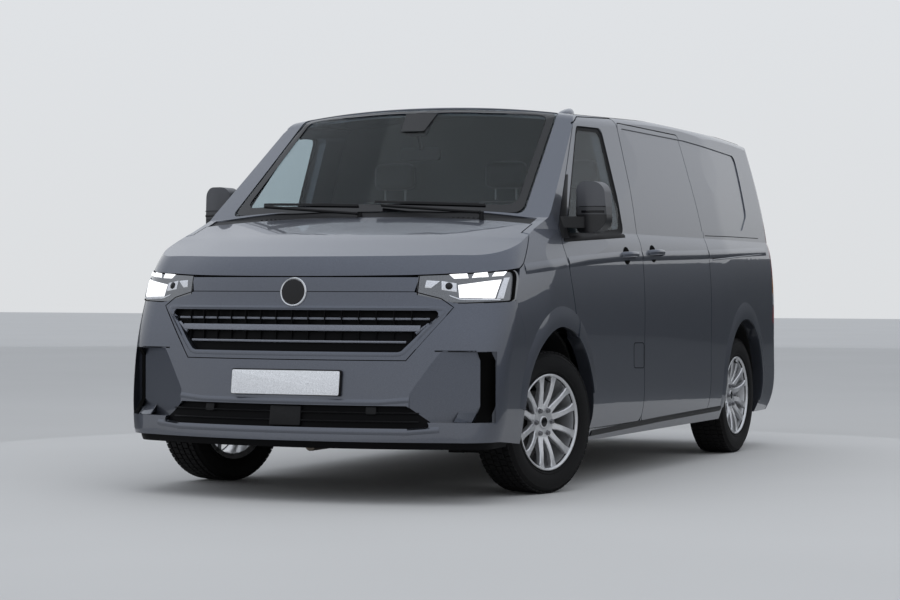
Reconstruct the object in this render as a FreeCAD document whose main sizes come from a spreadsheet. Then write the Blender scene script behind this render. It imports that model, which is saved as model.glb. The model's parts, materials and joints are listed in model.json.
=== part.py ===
import FreeCAD, Part
import math
import os
import Sketcher
from FreeCAD import Placement, Rotation, Vector

# Panel van, 5.05 m long, with hollow cab and load space. Millimetres, +Z up,
# the front faces -Y and +X is the vehicle's left side. The origin is on the
# ground under the middle of the body.

doc = FreeCAD.newDocument("panel_van")
sheet = doc.addObject("Spreadsheet::Sheet", "Sizes")

# alias, value in mm (angles in degrees), what it is
SIZES = [
    ("front_axle_y", -1545.0, "front axle"),
    ("rear_axle_y", 1555.0, "rear axle"),
    ("hub_height", 345.0, "wheel centres above the ground"),
    ("half_track", 870.0, "middle of a front tyre from the centre line"),
    ("rear_half_track", 845.0, "middle of a rear tyre from the centre line"),
    ("kingpin_x", 830.0, "steering axis from the centre line"),
    ("rest_steer", -15.0, "how far the parked front wheels are turned"),
    ("tyre_radius", 345.0, "tyre, outside"),
    ("tyre_width", 218.0, "tyre"),
    ("bead_radius", 216.0, "rim at the tyre's bead"),
    ("rim_width", 190.0, "rim"),
    ("spindle_radius", 30.0, "stub that carries a wheel"),
    ("disc_radius", 150.0, "brake disc"),
    ("disc_width", 26.0, "brake disc"),
    ("hub_face", 62.0, "outside of the hub from the tyre's middle"),
    ("hub_radius", 84.0, "wheel hub"),
    ("cap_radius", 36.0, "hub cap"),
    ("steering_wheel_radius", 185.0, "steering wheel, to the middle of its rim"),
    ("steering_rim_radius", 15.0, "grip of the steering wheel"),
    ("arch_radius", 445.0, "wheel opening in the side"),
    ("arch_height", 360.0, "centre of the wheel opening"),
    ("wall", 60.0, "doors and side walls with their lining"),
    ("roof_wall", 42.0, "roof with its lining"),
    ("hood_wall", 28.0, "hood with its inner frame"),
    ("glass_inset", 6.0, "glass and blank window fields below the skin"),
    ("glass_wall", 6.0, "window glass"),
    ("door_gap", 6.0, "round every panel that opens"),
    ("seat", 0.3, "between fixed neighbours"),
    ("floor_top", 560.0, "load floor above the ground"),
    ("floor_wall", 40.0, "load floor"),
    ("cab_floor_top", 470.0, "cab floor above the ground"),
    ("cab_floor_wall", 40.0, "cab floor"),
    ("beam_drop", 30.0, "cross beams, below the cab floor"),
    ("bulkhead_y", -300.0, "front face of the bulkhead"),
    ("bulkhead_wall", 40.0, "bulkhead"),
    ("firewall_y", -1560.0, "front face of the firewall"),
    ("hood_rear_y", -1655.0, "rear edge of the hood"),
    ("front_door_rear_y", -340.0, "rear edge of a front door"),
    ("slide_door_rear_y", 820.0, "rear edge of the sliding door"),
    ("door_bottom_z", 290.0, "lower edge of the side doors"),
    ("lip_z", 286.0, "lower edge of the front bumper"),
    ("bumper_end_z", 262.0, "lower edge of the front bumper at the wheel opening"),
    ("valance_z", 252.0, "lower edge of the black valance under the bumper"),
    ("slot_top_z", 702.0, "air slot in the bumper's corner, top"),
    ("slot_low_z", 378.0, "air slot in the bumper's corner, bottom"),
    ("door_top_z", 1896.0, "upper edge of the front doors"),
    ("rear_door_half", 848.0, "outer edge of a rear door from the centre line"),
    ("rear_door_bottom_z", 505.0, "lower edge of the rear doors"),
    ("rear_door_top_z", 1868.0, "upper edge of the rear doors"),
    ("rear_hinge_x", 876.0, "axis of a rear door from the centre line"),
    ("rear_hinge_y", 2467.0, "axis of a rear door"),
    ("roof_half", 770.0, "roof panel from the centre line"),
    ("rail_half", 480.0, "chassis rails from the centre line"),
    ("rail_width", 80.0, "chassis rails"),
    ("rail_depth", 110.0, "chassis rails"),
    ("seat_box_top", 760.0, "boxes that carry the seats, above the ground"),
    ("seat_cushion_top", 900.0, "seat cushions above the ground"),
    ("seat_back_top", 1480.0, "seat backs above the ground"),
    ("headrest_top", 1680.0, "headrests above the ground"),
    ("towbar_hole", 6.5, "radius of the bolt holes for a towbar"),
]
for row, (alias, value, meaning) in enumerate(SIZES, start=1):
    sheet.set("A%d" % row, meaning)
    sheet.set("B%d" % row, str(value))
    sheet.setAlias("B%d" % row, alias)
doc.recompute()


def size(alias):
    return float(sheet.get(alias))


SUB_PARTS = []


def keep(obj, label):
    obj.Label = label
    SUB_PARTS.append(obj)
    return obj


def feature(label, shape):
    obj = doc.addObject("Part::Feature", label)
    obj.Shape = shape
    return keep(obj, label)


# Outlines

def rounded(rows, place):
    """Closed wire through rows of (a, b, corner radius), corners as tangent arcs."""
    corners = [(Vector(a, b, 0), radius) for a, b, radius in rows]
    legs = []
    for i, (corner, radius) in enumerate(corners):
        u = corners[i - 1][0] - corner
        v = corners[(i + 1) % len(corners)][0] - corner
        u.normalize()
        v.normalize()
        bisector = u + v
        if radius <= 0 or bisector.Length < 1e-6:
            legs.append((corner, corner, corner))
            continue
        angle = math.acos(max(-1.0, min(1.0, u.dot(v))))
        run = radius / math.tan(angle / 2)
        bisector.normalize()
        centre = corner + bisector * (radius / math.sin(angle / 2))
        legs.append((corner + u * run, centre - bisector * radius, corner + v * run))
    edges = []
    for i, (start, middle, end) in enumerate(legs):
        before = legs[i - 1][2]
        if (before - start).Length > 1e-6:
            edges.append(Part.LineSegment(place(*before[:2]), place(*start[:2])).toShape())
        if (start - end).Length > 1e-6:
            arc = Part.Arc(place(*start[:2]), place(*middle[:2]), place(*end[:2]))
            edges.append(arc.toShape())
    return Part.Wire(edges)


def grown(rows, margin):
    """The same outline moved outwards by a margin, for a hole round a panel."""
    area = sum(rows[i - 1][0] * rows[i][1] - rows[i][0] * rows[i - 1][1] for i in range(len(rows)))
    turn = 1.0 if area > 0 else -1.0
    result = []
    for i, (a, b, radius) in enumerate(rows):
        before = Vector(a - rows[i - 1][0], b - rows[i - 1][1], 0).normalize()
        nxt = rows[(i + 1) % len(rows)]
        after = Vector(nxt[0] - a, nxt[1] - b, 0).normalize()
        n1 = Vector(before.y, -before.x, 0) * turn
        n2 = Vector(after.y, -after.x, 0) * turn
        mitre = (n1 + n2) * (margin / (1.0 + n1.dot(n2)))
        result.append((a + mitre.x, b + mitre.y, radius + margin if radius > 0 else 0.0))
    return result


SIDE_FROM = 300.0
DOOR_FROM = 725.0
SIDE_TO = 1300.0


def side_zone(rows, margin=0.0, left=True, x_from=SIDE_FROM):
    """Block seen from the side: rows of (y, z, radius), on one side of the van."""
    sign = 1.0 if left else -1.0
    wire = rounded(grown(rows, margin), lambda a, b: Vector(sign * x_from, a, b))
    return Part.Face(wire).extrude(Vector(sign * (SIDE_TO - x_from), 0, 0))


def across_zone(rows, margin=0.0):
    """Block seen from the side, right through the van: rows of (y, z, radius)."""
    wire = rounded(grown(rows, margin), lambda a, b: Vector(-SIDE_TO, a, b))
    return Part.Face(wire).extrude(Vector(2 * SIDE_TO, 0, 0))


def plan_zone(rows, low, high, margin=0.0):
    """Block seen from above: rows of (x, y, radius)."""
    wire = rounded(grown(rows, margin), lambda a, b: Vector(a, b, low))
    return Part.Face(wire).extrude(Vector(0, 0, high - low))


def end_zone(rows, front, rear, margin=0.0):
    """Block seen from the front: rows of (x, z, radius)."""
    wire = rounded(grown(rows, margin), lambda a, b: Vector(a, front, b))
    return Part.Face(wire).extrude(Vector(0, rear - front, 0))


def both_sides(rows):
    """Mirrors the outline (x, b, radius) of the left half onto the right half."""
    return rows + [(-x, b, r) for x, b, r in reversed(rows) if abs(x) > 1e-9]


def box(x0, x1, y0, y1, z0, z1):
    return Part.makeBox(x1 - x0, y1 - y0, z1 - z0, Vector(x0, y0, z0))


def mirrored(shape):
    return shape.mirror(Vector(0, 0, 0), Vector(1, 0, 0))


# The outer skin. It is the overlap of a lower body, an upper body, a cover
# that holds the hood line, windscreen and roof, and a rail section that
# rounds the side into the roof. An inset gives the same skin further in.

# height, nose y, radius, front corner x, y, radius, side x, shoulder y, radius, rear corner x, y, radius
LOWER = [
    (225, -2482, 2300, 940, -2295, 170, 962, -1800, 700, 900, 2455, 200),
    (330, -2513, 2300, 965, -2312, 190, 1000, -1800, 700, 935, 2492, 215),
    (560, -2480, 2300, 982, -2290, 190, 1014, -1750, 700, 950, 2488, 225),
    (760, -2445, 2300, 984, -2258, 210, 1015, -1750, 700, 952, 2480, 230),
    (930, -2408, 2200, 978, -2200, 230, 1015, -1700, 700, 951, 2475, 230),
    (1060, -2388, 1900, 960, -2150, 250, 1009, -1650, 700, 945, 2470, 230),
    (1170, -2330, 1700, 936, -2090, 280, 999, -1550, 700, 935, 2464, 230),
    (1278, -2270, 1700, 900, -2060, 280, 968, -1350, 700, 908, 2457, 225),
]
UPPER = [
    (1278, -2270, 1700, 900, -2060, 280, 968, -1350, 700, 908, 2457, 225),
    (1560, -2180, 1700, 820, -2060, 280, 914, -1200, 700, 858, 2435, 220),
    (1850, -2180, 1700, 735, -2060, 280, 838, -1000, 700, 785, 2405, 215),
    (2020, -2180, 1700, 690, -2060, 280, 788, -1000, 700, 735, 2382, 210),
]
STRAIGHT_TO_Y = 1200.0
STRAIGHT_RADIUS = 2500.0
TAIL_RADIUS = 6000.0
TAIL_BULGE = 25.0


def waterline(row, inset):
    """Plan section. The nose arc runs into a leg that ends at the front corner."""
    height, nose, nose_radius, fx, fy, fr, sx, sy, sr, rx, ry, rr = row
    centre = Vector(0, nose + nose_radius, 0)
    reach = Vector(fx, fy, 0) - centre
    leg = math.sqrt(reach.Length ** 2 - nose_radius ** 2)
    slope = math.atan2(reach.x, -reach.y) - math.atan2(leg, nose_radius)
    vertex = centre.y - nose_radius / math.cos(slope)
    half = [
        (fx, fy, fr),
        (sx, sy, sr),
        (sx, STRAIGHT_TO_Y, STRAIGHT_RADIUS),
        (rx, ry, rr),
    ]
    ring = [(0, vertex, nose_radius)] + half + [(0, ry + TAIL_BULGE, TAIL_RADIUS)]
    ring += [(-x, y, r) for x, y, r in reversed(half)]
    return rounded(grown(ring, -inset), lambda a, b: Vector(a, b, height))


# y, height, radius, sweep back and drop towards the sides (m per square metre)
COVER = [
    (-3000.0, 925.0, 1.0, 0.18, 0.03),
    (-2050.0, 1240.0, 2500.0, 0.18, 0.03),
    (-1630.0, 1348.0, 20.0, 0.10, 0.015),
    (-925.0, 1938.0, 140.0, 0.09, 0.085),
    (300.0, 1985.0, 5000.0, 0.0, 0.10),
    (2100.0, 1970.0, 2500.0, 0.0, 0.10),
    (2800.0, 1900.0, 1.0, 0.0, 0.10),
]
COVER_BASE = [(2800.0, -200.0, 1.0), (-3000.0, -200.0, 1.0)]
COVER_STATIONS = (-1100.0, -550.0, 0.0, 550.0, 1100.0)


def cover_section(x, inset):
    square = (x / 1000.0) ** 2 * 1000.0
    rows = [(y + sweep * square, z - drop * square - inset, r) for y, z, r, sweep, drop in COVER]
    return rounded(rows + COVER_BASE, lambda a, b: Vector(x, a, b))


# y, rail corner x, change of height
RAIL = [
    (-2800.0, 788.0, -112.0),
    (-1500.0, 805.0, -62.0),
    (-200.0, 823.0, -12.0),
    (1100.0, 823.0, -6.0),
    (2400.0, 778.0, -45.0),
    (3700.0, 782.0, -150.0),
]
RAIL_CROWN = 4200.0
RAIL_RADIUS = 95.0
RAIL_SLOPE = 0.15
SIDE_SLOPE = 0.262
RAIL_HEIGHT = 1936.0
RAIL_AT_X = 750.0
RAIL_FOOT = 100.0


def rail_section(row, inset, roof_inset):
    y, corner_x, change = row
    z = RAIL_HEIGHT + change - RAIL_SLOPE * (corner_x - RAIL_AT_X) - roof_inset
    x = corner_x - inset
    half = [
        (0.0, z + RAIL_SLOPE * x, RAIL_CROWN),
        (x, z, RAIL_RADIUS),
        (x + (z - RAIL_FOOT) * SIDE_SLOPE, RAIL_FOOT, 1.0),
    ]
    return rounded(both_sides(half), lambda a, b: Vector(a, y, b))


def skin(inset, roof_inset):
    lower = Part.makeLoft([waterline(row, inset) for row in LOWER], True, False)
    upper = Part.makeLoft([waterline(row, inset) for row in UPPER], True, False)
    cover = Part.makeLoft([cover_section(x, roof_inset) for x in COVER_STATIONS], True, False)
    rail = Part.makeLoft([rail_section(row, inset, roof_inset) for row in RAIL], True, False)
    return lower.fuse(upper).common(cover).common(rail)


# y, crown height, shoulder x of the hood and the fenders
SHOULDER = [
    (-2850.0, 950.0, 900.0),
    (-2500.0, 1085.0, 925.0),
    (-2150.0, 1208.0, 945.0),
    (-1800.0, 1312.0, 970.0),
    (-1450.0, 1392.0, 965.0),
    (-1100.0, 1450.0, 950.0),
]
SHOULDER_CROWN = 6000.0
SHOULDER_RADIUS = 85.0
SHOULDER_DROP = 22.0
SHOULDER_SLOPE = 0.17
SHOULDER_FOOT = 200.0
SHOULDER_RISE = 12.0


def shoulder_section(row, inset):
    y, crown, x = row
    x -= inset
    crown -= inset
    z = crown - SHOULDER_DROP
    half = [
        (0.0, crown + SHOULDER_RISE, SHOULDER_CROWN),
        (x, z, SHOULDER_RADIUS),
        (x + (z - SHOULDER_FOOT) * SHOULDER_SLOPE, SHOULDER_FOOT, 1.0),
    ]
    return rounded(both_sides(half), lambda a, b: Vector(a, y, b))


def nose_skin(whole, inset):
    shoulders = Part.makeLoft([shoulder_section(row, inset) for row in SHOULDER], True, False)
    return whole.common(box(-SIDE_TO, SIDE_TO, -2800, -1250, 0, 1700)).common(shoulders)


WALL = size("wall")
GAP = size("door_gap")
SEAT = size("seat")
GLASS_OUT = size("glass_inset")
GLASS_IN = GLASS_OUT + size("glass_wall")

outer = skin(0.0, 0.0)
inner = skin(WALL, size("roof_wall"))
glass_outer = skin(GLASS_OUT, GLASS_OUT)
glass_inner = skin(GLASS_IN, GLASS_IN)
nose_outer = nose_skin(outer, 0.0)
hood_inner = skin(size("hood_wall"), size("hood_wall"))
nose_inner = nose_skin(hood_inner, size("hood_wall"))
body_wall = outer.cut(inner)
glass_sheet = glass_outer.cut(glass_inner)
nose_wall = nose_outer.cut(nose_inner)
front_wall = nose_outer.cut(inner)

# Shut lines, seen from the side: y, z, corner radius

FRONT_AXLE = size("front_axle_y")
REAR_AXLE = size("rear_axle_y")
ARCH_Z = size("arch_height")
DOOR_LOW = size("door_bottom_z")
DOOR_REAR = size("front_door_rear_y")
SLIDE_REAR = size("slide_door_rear_y")
DOOR_TOP = size("door_top_z")

FRONT_DOOR = [
    (-1130, DOOR_LOW, 0), (-1300, 640, 0), (-1335, 800, 60), (-1373, 917, 200), (-1418, 1050, 400),
    (-1448, 1204, 60), (-1448, 1296, 20), (-915, DOOR_TOP - 60, 40), (-820, DOOR_TOP - 24, 80),
    (DOOR_REAR + 50, DOOR_TOP, 40), (DOOR_REAR, 1330, 400), (DOOR_REAR, DOOR_LOW, 40),
]
FRONT_WINDOW = [
    (-1372, 1240, 30), (-1330, 1310, 30), (-884, 1824, 50), (-538, 1831, 50), (-550, 1275, 50),
]
SLIDE_DOOR = [
    (DOOR_REAR + GAP, DOOR_LOW, 40), (DOOR_REAR + GAP, 1330, 400), (DOOR_REAR + GAP + 50, 1874, 40),
    (SLIDE_REAR - 75, 1866, 50), (SLIDE_REAR - 55, 1634, 300), (SLIDE_REAR, 1333, 60),
    (SLIDE_REAR, DOOR_LOW, 40),
]
BLANK_WINDOW = [
    (-296, 1284, 40), (-240, 1850, 30), (843, 1844, 0), (1882, 1806, 50), (1849, 1437, 60),
    (1684, 1341, 60), (745, 1315, 0),
]
HOOD_LINE = [
    (-2700, 1042, 0), (-2440, 1045, 0), (-2306, 1053, 0), (-1985, 1088, 60), (-1940, 1110, 60),
    (-1745, 1300, 0), (-1745, 1600, 0), (-2700, 1600, 0),
]
HOOD_REAR = size("hood_rear_y")
HOOD_REAR_HALF = 895.0
LAMP = [
    (-2700, 977, 0), (-2339, 977, 20), (-2269, 920, 30), (-2068, 934, 30), (-1985, 1082, 30),
    (-2306, 1047, 0), (-2700, 1038, 0),
]

def arch(axle_y):
    """Wheel opening of the left side."""
    start = Vector(SIDE_FROM, axle_y, ARCH_Z)
    return Part.makeCylinder(size("arch_radius"), SIDE_TO - SIDE_FROM, start, Vector(1, 0, 0))


FRONT_ARCH = arch(FRONT_AXLE)
REAR_ARCH = arch(REAR_AXLE)
REAR_HALF = size("rear_door_half")
REAR_LOW = size("rear_door_bottom_z")
REAR_TOP = size("rear_door_top_z")
TOP_TAPER = 150.0
REAR_DOORS = both_sides([
    (REAR_HALF, REAR_LOW, 30), (REAR_HALF - 8, 1250, 400), (REAR_HALF - TOP_TAPER, REAR_TOP, 60),
])
REAR_ZONE_FROM = 2200.0
TAIL = 2700.0
ROOF_HALF = size("roof_half")
ROOF_FRONT = -930.0
ROOF_REAR = 2640.0
ROOF_EDGE = [(ROOF_HALF, ROOF_FRONT + 60, 0), (ROOF_HALF, 1500, 3000), (ROOF_HALF - 50, ROOF_REAR, 60)]
ROOF_ZONE = [(0.0, ROOF_FRONT, 2200)] + both_sides(ROOF_EDGE)
SCREEN = [(0.0, -1608.0, 2600), (812, -1545, 40), (722, -838, 40), (0, ROOF_FRONT - 12, 2600)]
SCREEN += [(-722, -838, 40), (-812, -1545, 40)]
COWL_REAR = -1560.0
COWL_HALF = 890.0

roof_block = plan_zone(ROOF_ZONE, 1700, 2100)
roof_clear = plan_zone(ROOF_ZONE, 1700, 2100, GAP)
screen_block = plan_zone(SCREEN, 1300, 1990)
rear_door_block = end_zone(REAR_DOORS, REAR_ZONE_FROM, TAIL, GAP)
BUMPER_TOP = REAR_LOW - GAP
BUMPER_FROM = 1900.0
rear_bumper_block = box(-SIDE_TO, SIDE_TO, BUMPER_FROM, TAIL, 0, BUMPER_TOP)

# Front doors
DOOR_CUTTER = side_zone(FRONT_DOOR, x_from=DOOR_FROM)
WINDOW_CUTTER = side_zone(FRONT_WINDOW)
door_left = body_wall.common(DOOR_CUTTER).cut([FRONT_ARCH, WINDOW_CUTTER, roof_clear])
feature("door_left", door_left)
feature("door_right", mirrored(door_left))
window = glass_sheet.common(side_zone(FRONT_WINDOW, -SEAT))
feature("door_glass_left", window)
feature("door_glass_right", mirrored(window))

# Sliding door on the left, and the fixed side walls
recess = side_zone(BLANK_WINDOW).cut(glass_outer)
slide = body_wall.common(side_zone(SLIDE_DOOR, x_from=DOOR_FROM)).cut([roof_clear, recess])
feature("sliding_door", slide)

body_block = across_zone([
    (-1560, 1334 + SEAT, 0), (-1640, 1600, 0), (-1000, 2100, 0), (TAIL, 2100, 0), (TAIL, 0, 0),
    (-1106, 0, 0), (-1106, DOOR_LOW, 0), (DOOR_REAR, DOOR_LOW, 0), (DOOR_REAR, 1200, 0),
    (-1470, 1250, 0), (-1560, 1334, 0),
])
half_block = box(SIDE_FROM + 60, SIDE_TO, -2600, TAIL, 0, 2200)
TAIL_LAMP = [
    (REAR_HALF + 50, 770, 20), (1100, 770, 0), (1100, 1400, 0), (REAR_HALF + 6, 1400, 20),
    (REAR_HALF + 50, 1160, 60),
]
TAIL_LAMP_FROM = 2260.0
tail_zone = end_zone(TAIL_LAMP, TAIL_LAMP_FROM, TAIL)
side_wall = body_wall.common(body_block).common(half_block)
side_wall = side_wall.cut([screen_block, roof_block, rear_door_block, rear_bumper_block])
side_wall = side_wall.cut([side_zone(FRONT_DOOR, GAP), REAR_ARCH, FRONT_ARCH, recess, tail_zone])
HINGE_X = size("rear_hinge_x")
HINGE_Y = size("rear_hinge_y")
HINGE_ENDS = 22.0
HINGE_HEIGHT = 90.0
HINGE_LOW = (600.0, 1040.0)
BARREL = 9.0
for z in HINGE_LOW:
    for low in (z, z + HINGE_HEIGHT - HINGE_ENDS):
        barrel = Part.makeCylinder(BARREL, HINGE_ENDS, Vector(HINGE_X, HINGE_Y, low))
        foot = box(HINGE_X, HINGE_X + 18, HINGE_Y - 120, HINGE_Y, low, low + HINGE_ENDS)
        side_wall = side_wall.fuse([barrel, foot])
side_left = side_wall.cut(side_zone(SLIDE_DOOR, GAP))
feature("body_side_left", side_left)
feature("body_side_right", mirrored(side_wall))

# Roof, windscreen, cowl
roof = body_wall.common(plan_zone(ROOF_ZONE, 1700, 2100, -SEAT)).cut([rear_door_block, screen_block])
feature("roof_panel", roof)
screen = glass_sheet.common(plan_zone(SCREEN, 1300, 1990, -SEAT))
feature("windscreen", screen)


# Hood and front fenders

def hood_zone(margin):
    """The hood runs down to its shut line, and back between the fenders to its rear edge."""
    rear = box(-HOOD_REAR_HALF - margin, HOOD_REAR_HALF + margin, -1900, HOOD_REAR + margin, 1240, 1600)
    return across_zone(HOOD_LINE, margin).fuse(rear)


hood_block = hood_zone(GAP)
hood = nose_wall.common(hood_zone(0.0))
feature("hood", hood)
FENDER = [
    (-2068 + SEAT, 934, 0), (-1985 + SEAT, 1082, 0), (-1940, 1200, 0), (-1640, 1390, 0),
    (-1560 - SEAT, 1334, 0), (-1470 - SEAT, 1250 - SEAT, 0), (-1300, 1230, 0), (-1300, 500, 0),
    (-1950 + SEAT, 500, 0), (-1990 + SEAT, 800, 0),
]
LAMP_INNER = [(0, -2800, 0), (586, -2800, 0), (602, -1900, 0), (0, -1900, 0)]
front_lamp_block = side_zone(LAMP).cut(plan_zone(LAMP_INNER, 800, 1200))
fender = nose_wall.common(side_zone(FENDER))
fender = fender.cut([hood_block, side_zone(FRONT_DOOR, GAP), FRONT_ARCH, front_lamp_block])
fender = fender.cut([box(-COWL_HALF, COWL_HALF, HOOD_REAR, COWL_REAR, 1200, 1500),
                     box(-SIDE_TO, SIDE_TO, HOOD_REAR, COWL_REAR, 1334, 1500)])
feature("front_fenders", Part.makeCompound([fender, mirrored(fender)]))

# Headlamps, nose panel, bumper and grilles
lamp = front_wall.common(side_zone(LAMP, -SEAT)).common(front_lamp_block)
feature("headlamps", Part.makeCompound([lamp, mirrored(lamp)]))
NOSE_FROM = -2800.0
NOSE_TO = -1990.0
NOSE_PANEL = both_sides([
    (600, 1042, 0), (584, 977, 0), (705, 946, 0), (764, 905, 0), (744, 880, 30), (572, 659, 40),
])
GRILLE_HOLE = both_sides([(726, 890, 20), (545, 697, 30)])
LOWER_HOLE = both_sides([(590, 452, 20), (733, 343, 20)])
nose_block = end_zone(NOSE_PANEL, NOSE_FROM, NOSE_TO)
grille_block = end_zone(GRILLE_HOLE, NOSE_FROM, NOSE_TO)
lower_block = end_zone(LOWER_HOLE, NOSE_FROM, NOSE_TO)
nose_zone = across_zone([(-2800, 600, 0), (-2800, 1042 - GAP, 0), (-2200, 1060 - GAP, 0), (-2200, 600, 0)])
nose_panel = front_wall.common(end_zone(NOSE_PANEL, NOSE_FROM, NOSE_TO, -SEAT)).common(nose_zone)
nose_panel = nose_panel.cut([grille_block, hood_block, front_lamp_block, mirrored(front_lamp_block)])
feature("nose_panel", nose_panel)
LIP_Z = size("lip_z")
BUMPER = [
    (-2700, LIP_Z, 0), (-2200, LIP_Z, 100), (-1950, size("bumper_end_z"), 0), (-1950, 500, 0), (-1990, 800, 0),
    (-2068, 934, 0), (-2269, 935, 0), (-2700, 977, 0),
]
bumper = body_wall.common(across_zone(BUMPER, -SEAT))
bumper = bumper.cut([nose_block, lower_block, FRONT_ARCH, mirrored(FRONT_ARCH)])
# A hollow in each corner deepens outwards and ends in an upright air slot
SLOT = [
    (600, -2408, 0), (915, -2246, 0), (926, -2206, 0), (951, -2194, 0), (962, -2240, 0), (980, -2600, 0),
    (600, -2600, 0),
]
slot = plan_zone(SLOT, size("slot_low_z"), size("slot_top_z"))
bumper = bumper.cut([front_lamp_block, mirrored(front_lamp_block), slot, mirrored(slot)])
feature("front_bumper", bumper)
front_bumper_space = across_zone(BUMPER)
slab = hood_inner.cut(inner)
upper_fill = slab.common(end_zone(GRILLE_HOLE, NOSE_FROM, NOSE_TO, -SEAT))
lower_fill = slab.common(end_zone(LOWER_HOLE, NOSE_FROM, NOSE_TO, -SEAT))
VALANCE = [
    (-2700, size("valance_z"), 0), (-2200, size("valance_z"), 0), (-2060, size("bumper_end_z") - 6, 0),
    (-2060, 300, 0), (-2200, LIP_Z - SEAT, 0), (-2700, LIP_Z - SEAT, 0),
]
valance = slab.common(across_zone(VALANCE)).cut(front_bumper_space)
feature("front_grilles", Part.makeCompound([upper_fill, lower_fill, valance]))

# Rear doors, tail lamps and rear bumper
REAR_DOOR = [
    (GAP / 2, REAR_LOW, 0), (REAR_HALF, REAR_LOW, 30), (REAR_HALF - 8, 1250, 400),
    (REAR_HALF - TOP_TAPER, REAR_TOP, 60), (GAP / 2, REAR_TOP, 0),
]
REAR_WINDOW = [(118, 1290, 40), (720, 1290, 40), (640, 1780, 50), (118, 1780, 40)]
rear_leaf = body_wall.common(end_zone(REAR_DOOR, REAR_ZONE_FROM, TAIL))
rear_leaf = rear_leaf.cut(end_zone(REAR_WINDOW, REAR_ZONE_FROM, TAIL))
for z, strap_from in zip(HINGE_LOW, (HINGE_X - 60, HINGE_X - 70)):
    low = z + HINGE_ENDS + SEAT
    length = HINGE_HEIGHT - 2 * HINGE_ENDS - 2 * SEAT
    barrel = Part.makeCylinder(BARREL, length, Vector(HINGE_X, HINGE_Y, low))
    strap = box(strap_from, HINGE_X, HINGE_Y - 60, HINGE_Y - 1, low, low + length)
    strap = strap.cut(box(REAR_HALF - 2, HINGE_X, HINGE_Y - 60, HINGE_Y - BARREL, low, low + length))
    rear_leaf = rear_leaf.fuse([barrel, strap.cut(inner)])
feature("rear_door_left", rear_leaf)
feature("rear_door_right", mirrored(rear_leaf))
rear_glass = glass_sheet.common(end_zone(REAR_WINDOW, REAR_ZONE_FROM, TAIL, -SEAT))
feature("rear_glass_left", rear_glass)
feature("rear_glass_right", mirrored(rear_glass))
tail_lamp = body_wall.common(end_zone(TAIL_LAMP, TAIL_LAMP_FROM + SEAT, TAIL, -SEAT)).cut(side_wall)
feature("tail_lamps", Part.makeCompound([tail_lamp, mirrored(tail_lamp)]))
rear_bumper = body_wall.common(box(-SIDE_TO, SIDE_TO, BUMPER_FROM + SEAT, TAIL, 0, BUMPER_TOP - SEAT))
rear_bumper = rear_bumper.cut([REAR_ARCH, mirrored(REAR_ARCH)])
feature("rear_bumper", rear_bumper)


# What stands inside is cut from the inner skin, shrunk to leave the seat gap

shrink = FreeCAD.Matrix()
shrink.scale(Vector(0.9997, 0.9999, 0.9998))
cabin = inner.transformGeometry(shrink)
FLOOR_TOP = size("floor_top")
FLOOR_LOW = FLOOR_TOP - size("floor_wall")
CAB_TOP = size("cab_floor_top")
CAB_LOW = CAB_TOP - size("cab_floor_wall")
BEAM_LOW = CAB_LOW - size("beam_drop")
BULK_Y = size("bulkhead_y")
FIRE_Y = size("firewall_y")
FIREWALL = 25.0
HOUSE = 430.0
HOUSE_WALL = 15.0
REAR_HOUSE_X = 650.0
FRONT_HOUSE_X = 560.0
FRONT_HOUSE_TO = 925.0


def housing(axle_y, x_from, x_to, low):
    """Wheel housing of the left side: a round shell with a wall on its inner side."""
    middle = Vector(x_from - HOUSE_WALL, axle_y, ARCH_Z)
    shell = Part.makeCylinder(HOUSE + HOUSE_WALL, x_to - x_from + HOUSE_WALL, middle, Vector(1, 0, 0))
    shell = shell.cut(wheel_room(axle_y, x_from))
    return shell.common(box(0, SIDE_TO, axle_y - 600, axle_y + 600, low, 1000))


def wheel_room(axle_y, x_from):
    return Part.makeCylinder(HOUSE, 700, Vector(x_from, axle_y, ARCH_Z), Vector(1, 0, 0))


def pair(shape):
    return [shape, mirrored(shape)]


# A load mat lies on the floor sheet, clear of the walls and the bulkhead
MAT = 6.0
SHEET_TOP = FLOOR_TOP - MAT
MAT_HALF = 840.0
MAT_PLAN = both_sides([
    (MAT_HALF, BULK_Y + size("bulkhead_wall") + 10, 0), (MAT_HALF, 1000, 0), (REAR_HOUSE_X - 30, 1080, 0),
    (REAR_HOUSE_X - 30, 2030, 0), (MAT_HALF, 2100, 0), (MAT_HALF, 2180, 0), (760, 2370, 0),
])
mat = plan_zone(MAT_PLAN, SHEET_TOP, FLOOR_TOP)

# The floor sheet's rear corners are cut round, where the doors' inner edges swing
LEAF_SWING = 87.0
swing_room = pair(Part.makeCylinder(LEAF_SWING, 100, Vector(HINGE_X, HINGE_Y, FLOOR_LOW - 50)))
load_sheet = cabin.common(box(-1000, 1000, BULK_Y, 2500, FLOOR_LOW, SHEET_TOP)).cut(swing_room)
load_floor = load_sheet.fuse(mat)
cab_floor = box(-FRONT_HOUSE_X, FRONT_HOUSE_X, FIRE_Y, BULK_Y + 60, CAB_LOW, CAB_TOP)
cab_wide = box(-940, 940, -1200, BULK_Y + 60, CAB_LOW, CAB_TOP)
riser = box(-930, 930, BULK_Y, BULK_Y + 60, CAB_LOW, SHEET_TOP)
rear_house = cabin.common(housing(REAR_AXLE, REAR_HOUSE_X, 1000, 400))
front_house = housing(FRONT_AXLE, FRONT_HOUSE_X, FRONT_HOUSE_TO, 330)
RAIL_IN = size("rail_half") - size("rail_width") / 2
RAIL_OUT = size("rail_half") + size("rail_width") / 2
RAIL_LOW = CAB_LOW - size("rail_depth")
rails = pair(box(RAIL_IN, RAIL_OUT, -2330, 2380, RAIL_LOW, CAB_LOW))
beams = [box(-880, 880, y, y + 70, BEAM_LOW, FLOOR_LOW) for y in (-180, 500, 1060, 2030)]
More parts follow.
